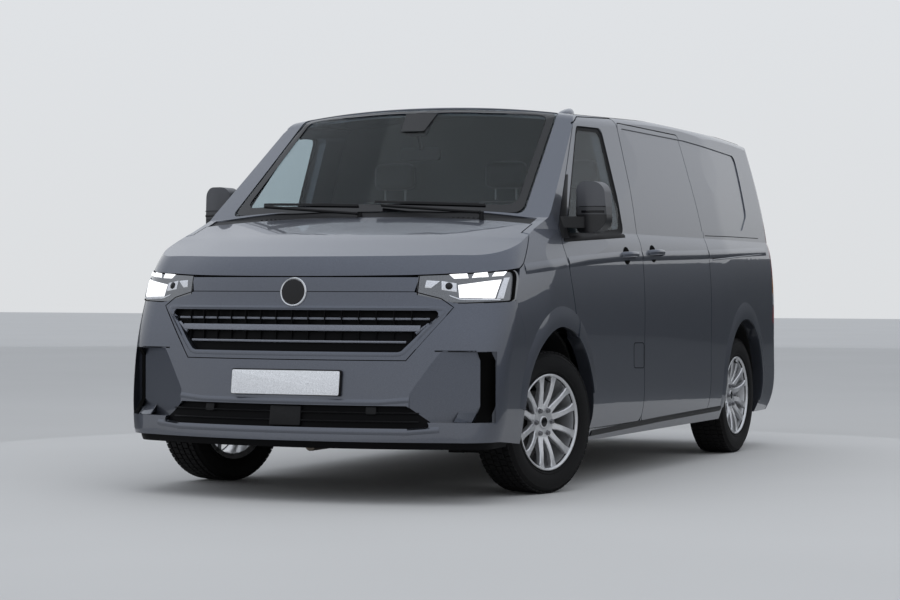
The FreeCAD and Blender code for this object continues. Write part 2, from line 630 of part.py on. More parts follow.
beams.append(box(-RAIL_OUT, RAIL_OUT, 2310, 2380, BEAM_LOW, FLOOR_LOW))
beams.append(box(-RAIL_IN, RAIL_IN, -2330, -2250, RAIL_LOW - 40, RAIL_LOW - SEAT))
beams += pair(box(RAIL_IN, RAIL_OUT, -2330, -2250, RAIL_LOW - 40, RAIL_LOW))
engine_mounts = pair(box(390 + SEAT, RAIL_IN, -1990, -1910, 340, 400))
firewall = cabin.common(box(-1000, 1000, FIRE_Y, FIRE_Y + FIREWALL, CAB_LOW, 1290))
door_post = box(880, 958, FIRE_Y, -1300, 830, 1060).cut(side_zone(FRONT_DOOR, SEAT))
pieces = [cab_floor, cab_wide, riser, firewall] + rails + beams + engine_mounts + pair(door_post)
pan = load_floor.fuse(pieces + pair(rear_house) + pair(front_house))
rooms = pair(wheel_room(REAR_AXLE, REAR_HOUSE_X)) + pair(wheel_room(FRONT_AXLE, FRONT_HOUSE_X))
bolts = [Part.makeCylinder(size("towbar_hole"), 45, Vector(sign * size("rail_half"), y, RAIL_LOW))
         for sign in (1, -1) for y in (2180, 2340)]
feature("floor_pan", pan.cut(rooms + bolts))
bulkhead = cabin.common(box(-1000, 1000, BULK_Y, BULK_Y + size("bulkhead_wall"), SHEET_TOP + SEAT, 2000))
feature("bulkhead", bulkhead)
DASH_FRONT = FIRE_Y + FIREWALL + SEAT
dash = across_zone([
    (DASH_FRONT, 900, 20), (DASH_FRONT, 1250, 20), (-1440, 1262, 60), (-1210, 1190, 60), (-1180, 1060, 60),
    (-1260, 900, 60),
])
dash = dash.common(box(-870, 870, -1600, -1000, 800, 1300))
WHEEL_HUB = Vector(-400, -1030, 1130)
WHEEL_TILT = 40.0
column_way = Rotation(Vector(1, 0, 0), -WHEEL_TILT).multVec(Vector(0, 0, -1))
COLUMN = 22.0
sleeve = Part.makeCylinder(COLUMN + 20, 200, WHEEL_HUB + column_way * 130, column_way)
bore = Part.makeCylinder(COLUMN + SEAT, 260, WHEEL_HUB + column_way * 100, column_way)
bracket = box(WHEEL_HUB.x - 30, WHEEL_HUB.x + 30, -1300, -1150, 930, 1080)
feature("dashboard", dash.fuse([sleeve, bracket]).cut(bore))
COWL_FRONT = HOOD_REAR + 19
cowl_room = box(-COWL_HALF + SEAT, COWL_HALF - SEAT, COWL_FRONT, FIRE_Y - SEAT, 1200, 1400)
cowl_room = cowl_room.fuse(box(-960, 960, COWL_FRONT, FIRE_Y - SEAT, 1334 + SEAT, 1400))
cowl = glass_outer.common(cowl_room).cut(screen_block)
under_hood = nose_inner.translated(Vector(0, 0, -SEAT))
posts = pair(box(600, 660, HOOD_REAR - 40, COWL_FRONT + 10, 1215, 1400).common(under_hood))
wiper_arms = []
for x0, x1 in ((-640, -40), (20, 620)):
    root = Vector(x1, -1640, 1362)
    arm = Part.makeCylinder(8, 560, root, Vector(x0 - x1, 60, 44))
    pivot = Part.makeCylinder(12, 130, root + Vector(0, 18, 4), Vector(0, 0, -1))
    wiper_arms += [arm, pivot]
feature("cowl_panel", cowl.fuse(posts + wiper_arms).cut([side_left, mirrored(side_left)]))


# Pieces from blocks and rods, bound to the sheet

def block(x0, x1, y0, y1, z0, z1):
    obj = doc.addObject("Part::Box", "block")
    for prop, low, high in (("Length", x0, x1), ("Width", y0, y1), ("Height", z0, z1)):
        obj.setExpression(prop, "(%s) - (%s)" % (high, low))
    for axis, low in (("x", x0), ("y", y0), ("z", z0)):
        obj.setExpression("Placement.Base." + axis, "%s" % low)
    return obj


def rod(radius, length, x, y, z, axis):
    obj = doc.addObject("Part::Cylinder", "rod")
    obj.setExpression("Radius", "%s" % radius)
    obj.setExpression("Height", "%s" % length)
    obj.Placement = Placement(Vector(0, 0, 0), Rotation(Vector(0, 0, 1), axis))
    for name, value in (("x", x), ("y", y), ("z", z)):
        obj.setExpression("Placement.Base." + name, "%s" % value)
    return obj


def joined(label, pieces):
    obj = doc.addObject("Part::MultiFuse", label)
    obj.Shapes = pieces
    return keep(obj, label)


keep(block(-390, 390, -2180, -1690, 330, 880), "engine_block")
keep(block(-400, 400, -2320, -2260, 320, 880), "radiator_pack")
keep(block(-420, 420, -950, -200, 250, "Sizes.cab_floor_top - Sizes.cab_floor_wall - Sizes.seat"), "fuel_tank")

RAIL_SEAT = "Sizes.cab_floor_top - Sizes.cab_floor_wall - Sizes.rail_depth - Sizes.seat"
X_WAY = Vector(1, 0, 0)
Y_WAY = Vector(0, 1, 0)
Z_WAY = Vector(0, 0, 1)
front_arms = [
    block(-520, 520, -1900, -1820, 230, 290), block(-520, 520, -1380, -1300, 230, 290),
    block(-520, -440, -1900, -1300, 230, 290), block(440, 520, -1900, -1300, 230, 290),
    block(440, 520, -1900, -1820, 290, RAIL_SEAT),
    block(-520, -440, -1900, -1820, 290, RAIL_SEAT),
]
for sign in ("", "-"):
    low, high = ("440", "Sizes.kingpin_x + 12") if sign == "" else ("-Sizes.kingpin_x - 12", "-440")
    front_arms.append(block(low, high, "Sizes.front_axle_y - 30", "Sizes.front_axle_y + 30", 185, 215))
    front_arms.append(block(440 if sign == "" else -520, 520 if sign == "" else -440,
                            "Sizes.front_axle_y - 60", "Sizes.front_axle_y + 60", 185, 290))
joined("front_suspension", front_arms)

STUB = "Sizes.rear_half_track + Sizes.hub_face - 14 - 520"
rear_arms = []
for sign in (1, -1):
    x0, x1 = sorted((sign * 520, sign * 600))
    rear_arms.append(block(x0, x1, 1000, "Sizes.rear_axle_y + 40", 235, 380))
    rear_arms.append(block(min(sign * 440, sign * 600), max(sign * 440, sign * 600), 1000, 1080, 250, 319.7))
    rear_arms.append(rod("Sizes.spindle_radius", STUB, 520 if sign > 0 else "0 - 520 - (%s)" % STUB, "Sizes.rear_axle_y",
                         "Sizes.hub_height", X_WAY))
rear_arms.append(rod(40, 1100, -550, "Sizes.rear_axle_y", 278, X_WAY))
joined("rear_suspension", rear_arms)

joined("exhaust", [
    rod(28, 2300, -300, -1650, 200, Y_WAY), block(-400, -120, 620, 1180, 180, 290),
    rod(26, 1180, -200, 1170, 208, Y_WAY),
    block(-320, -280, 1075, 1115, 280, "Sizes.cab_floor_top - Sizes.cab_floor_wall - Sizes.beam_drop - Sizes.seat"),
])

SEAT_PLACES = [(-640, -160), (60, 860)]
seats = []
for x0, x1 in SEAT_PLACES:
    seats.append(block(x0 + 60, x1 - 60, -940, -480, "Sizes.cab_floor_top + Sizes.seat", "Sizes.seat_box_top"))
    seats.append(block(x0, x1, -1000, -440, "Sizes.seat_box_top", "Sizes.seat_cushion_top"))
    seats.append(block(x0 + 20, x1 - 20, -500, -370, "Sizes.seat_cushion_top - 40", "Sizes.seat_back_top"))
    seats.append(block(x0 + 110, x0 + 370, -490, -390, "Sizes.seat_back_top", "Sizes.headrest_top"))
joined("cab_seats", seats)


# Wheels. Each is a turned tyre and rim, its axis along its own X, outer side at +X.

def origin_part(body, role):
    return [item for item in body.Origin.OriginFeatures if item.Role == role][0]


def number(text):
    return float(sheet.evalExpression("%s" % text))


def outline(body, plane, rows, name):
    """Closed sketch through rows of (a, b), each point tied to the sheet."""
    sketch = body.newObject("Sketcher::SketchObject", name)
    sketch.AttachmentSupport = (origin_part(body, plane), [""])
    sketch.MapMode = "FlatFace"
    values = [(number(a), number(b)) for a, b in rows]
    count = len(rows)
    for i, (a, b) in enumerate(values):
        c, d = values[(i + 1) % count]
        sketch.addGeometry(Part.LineSegment(Vector(a, b, 0), Vector(c, d, 0)), False)
    for i in range(count):
        sketch.addConstraint(Sketcher.Constraint("Coincident", i, 2, (i + 1) % count, 1))
    for i, (a, b) in enumerate(rows):
        for way, text, value in (("DistanceX", a, values[i][0]), ("DistanceY", b, values[i][1])):
            index = sketch.addConstraint(Sketcher.Constraint(way, -1, 1, i, 1, value))
            sketch.setExpression("Constraints[%d]" % index, "%s" % text)
    return sketch


def turned(body, rows, name):
    """Adds a full turn about the body's own X axis of an outline (along, outwards)."""
    sketch = outline(body, "XY_Plane", rows, name + "_outline")
    turn = body.newObject("PartDesign::Revolution", name)
    turn.Profile = sketch
    turn.ReferenceAxis = (origin_part(body, "X_Axis"), [""])
    turn.Angle = 360.0
    doc.recompute()
    return turn


TYRE = [
    ("0 - Sizes.rim_width / 2 + 6", "Sizes.bead_radius"),
    ("0 - Sizes.rim_width / 2 + 6", "Sizes.bead_radius + 19"),
    ("0 - Sizes.tyre_width / 2 + 3", "Sizes.bead_radius + 34"),
    ("0 - Sizes.tyre_width / 2", "Sizes.tyre_radius - 66"),
    ("0 - Sizes.tyre_width / 2 + 3", "Sizes.tyre_radius - 22"),
    ("0 - Sizes.tyre_width / 2 + 12", "Sizes.tyre_radius - 7"),
    ("0 - Sizes.tyre_width / 2 + 30", "Sizes.tyre_radius - 1"),
    ("0 - Sizes.tyre_width / 2 + 50", "Sizes.tyre_radius"),
    ("Sizes.tyre_width / 2 - 50", "Sizes.tyre_radius"),
    ("Sizes.tyre_width / 2 - 30", "Sizes.tyre_radius - 1"),
    ("Sizes.tyre_width / 2 - 12", "Sizes.tyre_radius - 7"),
    ("Sizes.tyre_width / 2 - 3", "Sizes.tyre_radius - 22"),
    ("Sizes.tyre_width / 2", "Sizes.tyre_radius - 66"),
    ("Sizes.tyre_width / 2 - 3", "Sizes.bead_radius + 34"),
    ("Sizes.rim_width / 2 - 6", "Sizes.bead_radius + 19"),
    ("Sizes.rim_width / 2 - 6", "Sizes.bead_radius"),
]
# Rim section: barrel with two flanges, and the dished face with the hub bore
RIM = [
    ("0 - Sizes.rim_width / 2 + 5", "Sizes.bead_radius - 12"),
    ("0 - Sizes.rim_width / 2 - 4", "Sizes.bead_radius + 16"),
    ("0 - Sizes.rim_width / 2 + 1", "Sizes.bead_radius + 17"),
    ("0 - Sizes.rim_width / 2 + 5.5", "Sizes.bead_radius - Sizes.seat"),
    ("Sizes.rim_width / 2 - 5.5", "Sizes.bead_radius - Sizes.seat"),
    ("Sizes.rim_width / 2 - 1", "Sizes.bead_radius + 17"),
    ("Sizes.rim_width / 2 + 4", "Sizes.bead_radius + 16"),
    ("Sizes.rim_width / 2 - 3", "Sizes.bead_radius - 10"),
    ("Sizes.rim_width / 2 - 12", "Sizes.bead_radius - 20"),
    ("Sizes.hub_face", "Sizes.hub_radius"),
    ("Sizes.hub_face", "Sizes.cap_radius"),
    ("Sizes.hub_face + 8", "Sizes.cap_radius - 4"),
    ("Sizes.hub_face + 8", 0),
    ("Sizes.hub_face - 12", 0),
    ("Sizes.hub_face - 12", "Sizes.spindle_radius + Sizes.seat"),
    ("Sizes.hub_face - 70", "Sizes.spindle_radius + Sizes.seat"),
    ("Sizes.hub_face - 70", "Sizes.disc_radius"),
    ("Sizes.hub_face - 70 + Sizes.disc_width", "Sizes.disc_radius"),
    ("Sizes.hub_face - 70 + Sizes.disc_width", "Sizes.hub_radius"),
    ("Sizes.hub_face - 34", "Sizes.hub_radius"),
    ("Sizes.rim_width / 2 - 44", "Sizes.bead_radius - 12"),
]
# Openings between the spokes: a wide one between two pairs, a narrow one inside a pair
WIDE_WINDOW = [
    (37, "Sizes.bead_radius - 27"), (-37, "Sizes.bead_radius - 27"), (-22, "Sizes.hub_radius + 14"),
    (22, "Sizes.hub_radius + 14"),
]
NARROW_WINDOW = [
    (35, "Sizes.bead_radius - 27"), (-35, "Sizes.bead_radius - 27"), (-7, "Sizes.hub_radius + 36"),
    (7, "Sizes.hub_radius + 36"),
]
SPOKE_PAIRS = 6


def swung(rows, degrees):
    """The same rows turned about the wheel's axis."""
    c, s = math.cos(math.radians(degrees)), math.sin(math.radians(degrees))
    return [("(%s) * %.6f - (%s) * %.6f" % (a, c, b, s), "(%s) * %.6f + (%s) * %.6f" % (a, s, b, c)) for a, b in rows]


def tyre(label):
    body = doc.addObject("PartDesign::Body", label)
    turned(body, TYRE, label + "_turn")
    return keep(body, label)


def rim(label):
    body = doc.addObject("PartDesign::Body", label)
    turned(body, RIM, label + "_turn")
    for name, rows in (("wide", WIDE_WINDOW), ("narrow", swung(NARROW_WINDOW, 180.0 / SPOKE_PAIRS))):
        whole = body.Shape.Volume
        hole = body.newObject("PartDesign::Pocket", "%s_%s" % (label, name))
        hole.Profile = outline(body, "YZ_Plane", rows, "%s_%s_outline" % (label, name))
        hole.Type = "Length"
        hole.Length = 95.0
        hole.Reversed = True
        doc.recompute()
        if hole.Shape.Volume > whole - 1000.0:
            raise RuntimeError("the %s openings of %s cut nothing" % (name, label))
        ring = body.newObject("PartDesign::PolarPattern", "%s_%s_ring" % (label, name))
        ring.Originals = [hole]
        ring.Axis = (origin_part(body, "X_Axis"), [""])
        ring.Angle = 360.0
        ring.Occurrences = SPOKE_PAIRS
        body.Tip = ring
        doc.recompute()
    return keep(body, label)


KINGPIN = size("kingpin_x")
OFFSET = size("half_track") - KINGPIN
STEER = size("rest_steer")
HUB_Z = size("hub_height")


def wheel_place(sign, front):
    """Place of a wheel whose own X axis points outwards."""
    facing = Rotation(Z_WAY, 0.0 if sign > 0 else 180.0)
    if not front:
        return Placement(Vector(sign * size("rear_half_track"), REAR_AXLE, HUB_Z), facing)
    steer = Rotation(Z_WAY, STEER)
    middle = Vector(sign * KINGPIN, FRONT_AXLE, HUB_Z) + steer.multVec(Vector(sign * OFFSET, 0, 0))
    return Placement(middle, steer.multiply(facing))


for corner, sign, front in (
    ("front_left", 1, True), ("front_right", -1, True), ("rear_left", 1, False), ("rear_right", -1, False),
):
    tyre("tyre_" + corner).Placement = wheel_place(sign, front)
    rim("rim_" + corner).Placement = wheel_place(sign, front)

for side, sign in (("left", 1), ("right", -1)):
    knuckle = joined("knuckle_" + side, [
        rod(28, 250, 0, 0, "-Sizes.hub_height + 215 + Sizes.seat", Z_WAY),
        rod("Sizes.spindle_radius", "Sizes.half_track - Sizes.kingpin_x + Sizes.hub_face - 14", 0, 0, 0, X_WAY),
        block(-70, -20, 60, 150, -60, 60),
        block(-50, 0, 0, 130, -30, 30),
    ])
    facing = Rotation(Z_WAY, 0.0 if sign > 0 else 180.0)
    knuckle.Placement = Placement(Vector(sign * KINGPIN, FRONT_AXLE, HUB_Z), Rotation(Z_WAY, STEER).multiply(facing))

# Steering wheel, on its column
wheel_ring = doc.addObject("Part::Torus", "steering_ring")
wheel_ring.setExpression("Radius1", "Sizes.steering_wheel_radius")
wheel_ring.setExpression("Radius2", "Sizes.steering_rim_radius")
spokes = [
    rod(62, 40, 0, 0, -45, Z_WAY),
    block("0 - Sizes.steering_wheel_radius", "Sizes.steering_wheel_radius", -22, 22, -28, -10),
    block(-20, 20, "0 - Sizes.steering_wheel_radius", 0, -28, -10),
    rod(COLUMN, 240, 0, 0, -280, Z_WAY),
]
column = joined("steering_wheel", [wheel_ring] + spokes)
column.Placement = Placement(WHEEL_HUB, Rotation(X_WAY, -WHEEL_TILT))

# Door mirrors: a head, rounded from the front and from above, on an arm
MIRROR_FRONT = [(972, 1266, 40), (978, 1522, 50), (1120, 1520, 60), (1138, 1264, 75)]
MIRROR_PLAN = [(968, -1262, 30), (1058, -1292, 80), (1138, -1255, 45), (1138, -1165, 16), (968, -1160, 16)]
ARM_PLAN = [
    (910, -1405, 0), (955, -1400, 20), (1030, -1290, 30), (1050, -1225, 10), (985, -1215, 10), (910, -1330, 0),
]
head = end_zone(MIRROR_FRONT, -1400, -1100).common(plan_zone(MIRROR_PLAN, 1250, 1600))
mirror_left = head.fuse(plan_zone(ARM_PLAN, 1290, 1345)).cut(outer)
feature("mirror_left", mirror_left)
feature("mirror_right", mirrored(mirror_left))

doc.recompute()
os.makedirs("parts", exist_ok=True)
for obj in SUB_PARTS:
    shape = obj.Shape
    if "Invalid" in obj.State or "Error" in obj.State or shape.isNull() or not shape.isValid():
        raise RuntimeError("%s did not build" % obj.Label)
    shape.exportStep("parts/%s.step" % obj.Label)
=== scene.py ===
import json
import math

import bmesh
import bpy
from mathutils import Matrix, Vector
from mathutils.bvhtree import BVHTree


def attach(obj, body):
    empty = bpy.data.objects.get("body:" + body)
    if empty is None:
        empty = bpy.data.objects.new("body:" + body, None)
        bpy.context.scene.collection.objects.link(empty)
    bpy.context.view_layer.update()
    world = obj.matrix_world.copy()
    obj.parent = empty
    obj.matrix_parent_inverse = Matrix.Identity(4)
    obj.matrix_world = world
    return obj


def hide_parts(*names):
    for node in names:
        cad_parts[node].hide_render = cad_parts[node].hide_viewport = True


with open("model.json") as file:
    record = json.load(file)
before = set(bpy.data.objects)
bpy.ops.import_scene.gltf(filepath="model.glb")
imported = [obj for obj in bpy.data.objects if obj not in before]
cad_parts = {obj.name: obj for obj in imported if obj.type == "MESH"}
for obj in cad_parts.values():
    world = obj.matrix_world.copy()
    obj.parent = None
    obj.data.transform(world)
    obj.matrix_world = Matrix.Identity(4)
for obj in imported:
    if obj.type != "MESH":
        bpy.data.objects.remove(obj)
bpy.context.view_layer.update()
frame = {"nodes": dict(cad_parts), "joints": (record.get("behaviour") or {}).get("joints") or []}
nodes = frame["nodes"]
scene = bpy.context.scene
scene.view_settings.view_transform = "Standard"

# Camera: at head height in front of the van's left corner, with a long lens,
# where the photograph was taken from. Places are in metres.

CAMERA_PLACE = Vector((5.145, -12.203, 1.004))
CAMERA_YAW = math.radians(23.91)
CAMERA_PITCH = math.radians(-0.35)
CAMERA_ROLL = math.radians(0.12)
CAMERA_LENS = 94.48


def added(name, data):
    """A new object in the scene."""
    made = bpy.data.objects.new(name, data)
    scene.collection.objects.link(made)
    return made


level = math.cos(CAMERA_PITCH)
ahead = Vector((-math.sin(CAMERA_YAW) * level, math.cos(CAMERA_YAW) * level, math.sin(CAMERA_PITCH)))
camera = added("camera", bpy.data.cameras.new("camera"))
camera.data.lens = CAMERA_LENS
camera.data.sensor_width = 36.0
turn = ahead.to_track_quat("-Z", "Y").to_matrix() @ Matrix.Rotation(CAMERA_ROLL, 3, "Z")
camera.matrix_world = Matrix.Translation(CAMERA_PLACE) @ turn.to_4x4()
scene.camera = camera


# Stage: a pale floor of rolled paper under an even studio sky. The sky is a
# little brighter above, and paint and glass mirror it.

def material(name, slot=""):
    made = bpy.data.materials.new(name)
    made.use_nodes = True
    made["slot"] = slot
    return made, made.node_tree, made.node_tree.nodes["Principled BSDF"]


def mesh_of(name, corners, faces, edges=()):
    mesh = bpy.data.meshes.new(name)
    mesh.from_pydata([tuple(c) for c in corners], edges, faces)
    return mesh


def links(tree, rows):
    """Links sockets by rows of node, output, node, input."""
    for source, out, target, into in rows:
        tree.links.new(source.outputs[out], target.inputs[into])


def put(node, values):
    """Sets a node's inputs by name."""
    for label, value in values.items():
        node.inputs[label].default_value = value


def ramp_node(tree, stops):
    """Colour ramp through rows of (position, colour)."""
    made = tree.nodes.new("ShaderNodeValToRGB")
    row = made.color_ramp.elements
    row[0].position, row[0].color = stops[0][0], (*stops[0][1], 1)
    row[1].position, row[1].color = stops[-1][0], (*stops[-1][1], 1)
    for position, colour in stops[1:-1]:
        row.new(position).color = (*colour, 1)
    return made


def mottled(tree, scale, stops):
    """Colour that varies over a surface: noise through a ramp."""
    place, noise = tree.nodes.new("ShaderNodeTexCoord"), tree.nodes.new("ShaderNodeTexNoise")
    put(noise, {"Scale": scale})
    tone = ramp_node(tree, stops)
    links(tree, [(place, "Object", noise, "Vector"), (noise, "Fac", tone, "Fac")])
    return noise, tone


FLOOR_HALF = 60.0
floor_corners = [(x * FLOOR_HALF, y * FLOOR_HALF, 0) for x, y in ((-1, -1), (1, -1), (1, 1), (-1, 1))]
floor_mesh = mesh_of("floor", floor_corners, [(0, 1, 2, 3)])
floor = added("floor", floor_mesh)
floor_paint, floor_tree, floor_shader = material("floor")
floor_tone = mottled(floor_tree, 0.4, [(0.0, (0.47, 0.468, 0.462)), (1.0, (0.52, 0.518, 0.512))])[1]
links(floor_tree, [(floor_tone, "Color", floor_shader, "Base Color")])
put(floor_shader, {"Roughness": 0.85})
floor_mesh.materials.append(floor_paint)

SKY_STOPS = [
    (0.0, (0.60, 0.60, 0.60)), (0.49, (0.72, 0.735, 0.75)), (0.56, (0.74, 0.76, 0.785)), (0.75, (0.80, 0.84, 0.91)),
    (1.0, (0.88, 0.93, 1.00)),
]
world = bpy.data.worlds.new("studio")
scene.world = world
world.use_nodes = True
sky = world.node_tree
sky_light = sky.nodes["Background"]
where, split = sky.nodes.new("ShaderNodeTexCoord"), sky.nodes.new("ShaderNodeSeparateXYZ")
rise = sky.nodes.new("ShaderNodeMapRange")
put(rise, {"From Min": -1.0})
sky_ramp = ramp_node(sky, SKY_STOPS)
links(sky, [
    (where, "Generated", split, "Vector"), (split, "Z", rise, "Value"), (rise, "Result", sky_ramp, "Fac"),
    (sky_ramp, "Color", sky_light, "Color"),
])


# Flag: a dark cloth in a wide arc behind the van, that also lies on the floor.
# It shows only in the paint's reflections, as studios use such cloths for cars.

FLAG_RADIUS, FLAG_HEIGHT, FLAG_FROM, FLAG_TO = 26.0, 2.9, -25, 205
FLAG_NEAR = 3.6
flag_turns = [math.radians(t) for t in range(FLAG_FROM, FLAG_TO, 5)]
flag_rim = [(FLAG_RADIUS * math.cos(t), FLAG_RADIUS * math.sin(t)) for t in flag_turns]
flag_rows = [(FLAG_NEAR / FLAG_RADIUS, 0.003), (1.0, 0.003), (1.0, FLAG_HEIGHT)]
flag_corners = [(x * near, y * near, z) for x, y in flag_rim for near, z in flag_rows]
flag_faces = [(3 * i + k, 3 * i + 3 + k, 3 * i + 4 + k, 3 * i + 1 + k)
              for i in range(len(flag_rim) - 1) for k in (0, 1)]
flag_mesh = mesh_of("flag", flag_corners, flag_faces)
flag = added("flag", flag_mesh)
flag.visible_camera = flag.visible_diffuse = flag.visible_transmission = flag.visible_shadow = False
flag_cloth, _, flag_shader = material("flag")
put(flag_shader, {"Base Color": (0.05, 0.055, 0.06, 1), "Roughness": 1.0})
flag_mesh.materials.append(flag_cloth)


def soft_light(name, place, aim, width, height, power):
    lamp = bpy.data.lights.new(name, "AREA")
    lamp.shape = "RECTANGLE"
    lamp.size = width
    lamp.size_y = height
    lamp.energy = power
    holder = added(name, lamp)
    aimed = (Vector(aim) - Vector(place)).to_track_quat("-Z", "Y").to_matrix().to_4x4()
    holder.matrix_world = Matrix.Translation(place) @ aimed
    holder.visible_glossy = False


soft_light("overhead", (0.5, -1.5, 8.0), (0, 0, 1), 7.0, 9.0, 160)
soft_light("side_fill", (9.0, 1.0, 5.5), (0, 0, 1), 5.0, 3.0, 60)


# Body panels: pressed steel in dark grey metallic under clear coat, with a
# little road dust low down. The panels are the CAD nodes themselves.

def dust_group():
    """Mask that grows towards the ground, broken up by noise."""
    group = bpy.data.node_groups.new("road_dust", "ShaderNodeTree")
    for label, value in (("Top", 0.7), ("Amount", 0.3)):
        group.interface.new_socket(label, in_out="INPUT", socket_type="NodeSocketFloat").default_value = value
    group.interface.new_socket("Mask", in_out="OUTPUT", socket_type="NodeSocketFloat")
    add = group.nodes.new
    start, end = add("NodeGroupInput"), add("NodeGroupOutput")
    place, parts = add("ShaderNodeTexCoord"), add("ShaderNodeSeparateXYZ")
    fall = add("ShaderNodeMapRange")
    put(fall, {"To Min": 1.0, "To Max": 0.0})
    speck = add("ShaderNodeTexNoise")
    put(speck, {"Scale": 6.0, "Detail": 6.0})
    times, weigh = add("ShaderNodeMath"), add("ShaderNodeMath")
    times.operation = weigh.operation = "MULTIPLY"
    links(group, [
        (place, "Object", parts, "Vector"), (place, "Object", speck, "Vector"), (parts, "Z", fall, "Value"),
        (start, "Top", fall, "From Max"), (fall, "Result", times, 0), (speck, "Fac", times, 1),
        (times, 0, weigh, 0), (start, "Amount", weigh, 1), (weigh, 0, end, "Mask"),
    ])
    return group


ROAD_DUST = dust_group()
DUST_COLOUR = (0.16, 0.145, 0.12, 1)
MIX_UNDER, MIX_OVER, MIX_RESULT = 6, 7, 2


def dusty(tree, shader, colour_out, top, amount):
    """Lays road dust over a colour before it reaches the shader."""
    mask = tree.nodes.new("ShaderNodeGroup")
    mask.node_tree = ROAD_DUST
    put(mask, {"Top": top, "Amount": amount})
    over = tree.nodes.new("ShaderNodeMix")
    over.data_type = "RGBA"
    tree.links.new(colour_out, over.inputs[MIX_UNDER])
    over.inputs[MIX_OVER].default_value = DUST_COLOUR
    links(tree, [(mask, "Mask", over, 0), (over, MIX_RESULT, shader, "Base Color")])


paint, paint_tree, paint_shader = material("body_paint", "body_paint")
flake_tone = mottled(paint_tree, 700.0, [(0.35, (0.070, 0.078, 0.100)), (0.65, (0.110, 0.121, 0.150))])[1]
dusty(paint_tree, paint_shader, flake_tone.outputs["Color"], 0.75, 0.25)
put(paint_shader, {"Metallic": 0.85, "Roughness": 0.38, "Coat Weight": 1.0, "Coat Roughness": 0.02})

PAINTED = [
    "body_side_left", "body_side_right", "roof_panel", "hood", "front_fenders", "nose_panel", "front_bumper",
    "sliding_door", "door_left", "door_right", "rear_door_left", "rear_door_right", "rear_bumper",
]


def dress(names, made):
    for name in names:
        nodes[name].data.materials.clear()
        nodes[name].data.materials.append(made)


dress(PAINTED, paint)


# Side panels: pressed steel with a character line from the fender to the tail.
# The line is laid on the outer skin, as all trims are, seen from one side.

SKIN_NODES = PAINTED + [
    "windscreen", "door_glass_left", "door_glass_right", "rear_glass_left", "rear_glass_right", "headlamps",
    "tail_lamps", "cowl_panel", "front_grilles",
]


def tree_of(names):
    corners, faces = [], []
    for name in names:
        mesh = nodes[name].data
        start = len(corners)
        corners += [v.co.copy() for v in mesh.vertices]
        faces += [[start + i for i in f.vertices] for f in mesh.polygons]
    return BVHTree.FromPolygons(corners, faces)


skin_tree = tree_of(SKIN_NODES)
VIEWS = {
    "left": (lambda a, b: Vector((1.6, a, b)), Vector((-1, 0, 0))),
    "right": (lambda a, b: Vector((-1.6, a, b)), Vector((1, 0, 0))),
    "front": (lambda a, b: Vector((a, -3.2, b)), Vector((0, 1, 0))),
    "rear": (lambda a, b: Vector((a, 3.2, b)), Vector((0, -1, 0))),
    "top": (lambda a, b: Vector((a, b, 2.6)), Vector((0, 0, -1))),
}
NEARBY = [(0, 0), (0.006, 0), (-0.006, 0), (0, 0.006), (0, -0.006)]


def cast(view, a, b, tree=None):
    """Place and outward normal of the skin, seen from one side. It looks beside a panel gap."""
    start, way = VIEWS[view]
    best = None
    for da, db in NEARBY:
        place, normal, face, distance = (tree or skin_tree).ray_cast(start(a + da, b + db), way)
        if place is not None and (best is None or distance < best[2] - 0.004):
            best = (place, normal if normal.dot(way) < 0 else -normal, distance)
    if best is None:
        return None
    return start(a, b) + way * best[2], best[1]


def finished(name, mesh, made, body, angle=40):
    """Closes a mesh as a piece: normals outwards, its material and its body."""
    work = bmesh.new()
    work.from_mesh(mesh)
    bmesh.ops.remove_doubles(work, verts=work.verts, dist=1e-6)
    bmesh.ops.recalc_face_normals(work, faces=work.faces)
    work.to_mesh(mesh)
    work.free()
    mesh.materials.clear()
    mesh.materials.append(made)
    mesh.shade_smooth()
    mesh.set_sharp_from_angle(angle=math.radians(angle))
    piece = added(name, mesh)
    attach(piece, body)
    return piece


def piece_of(name, corners, faces, made, body, angle=40):
    return finished(name, mesh_of(name, corners, faces), made, body, angle)


def spaced(points, step, closed=False):
    """Points along a path at an even step, its corners kept."""
    rows = list(points) + ([points[0]] if closed else [])
    result = []
    for p, q in zip(rows, rows[1:]):
        p, q = Vector(p), Vector(q)
        count = max(1, int(round((q - p).length / step)))
        result += [p.lerp(q, i / count) for i in range(count)]
    return result if closed else result + [Vector(rows[-1])]


def ring_faces(count, wide, closed=False):
    """Faces along a run of equal rings. An open run is capped at both ends."""
    faces = []
    for i in range(count if closed else count - 1):
        j = (i + 1) % count
        for k in range(wide):
            m = (k + 1) % wide
            faces.append([i * wide + k, j * wide + k, j * wide + m, i * wide + m])
    if not closed:
        faces.append(list(range(wide)))
        faces.append([(count - 1) * wide + k for k in reversed(range(wide))])
    return faces


def band(name, view, edge_a, edge_b, made, body, lifts=(0.001, 0.001), depth=0.004, closed=False, tree=None):
    """A trim between two edges of equal count, off the skin by the lifts. Its sides run into the skin."""
    rings = []
    for p, q in zip(edge_a, edge_b):
        ring = []
        for k, lift in enumerate(lifts):
            r = Vector(p).lerp(Vector(q), k / (len(lifts) - 1))
            hit = cast(view, r.x, r.y, tree) or cast(view, r.x, r.y)
            ring.append((hit[0], hit[1], lift))
        rings.append(ring)
    corners = []
    for ring in rings:
        corners += [place + normal * lift for place, normal, lift in ring]
        corners += [place - normal * depth for place, normal, lift in (ring[-1], ring[0])]
    return piece_of(name, corners, ring_faces(len(rings), len(lifts) + 2, closed), made, body)


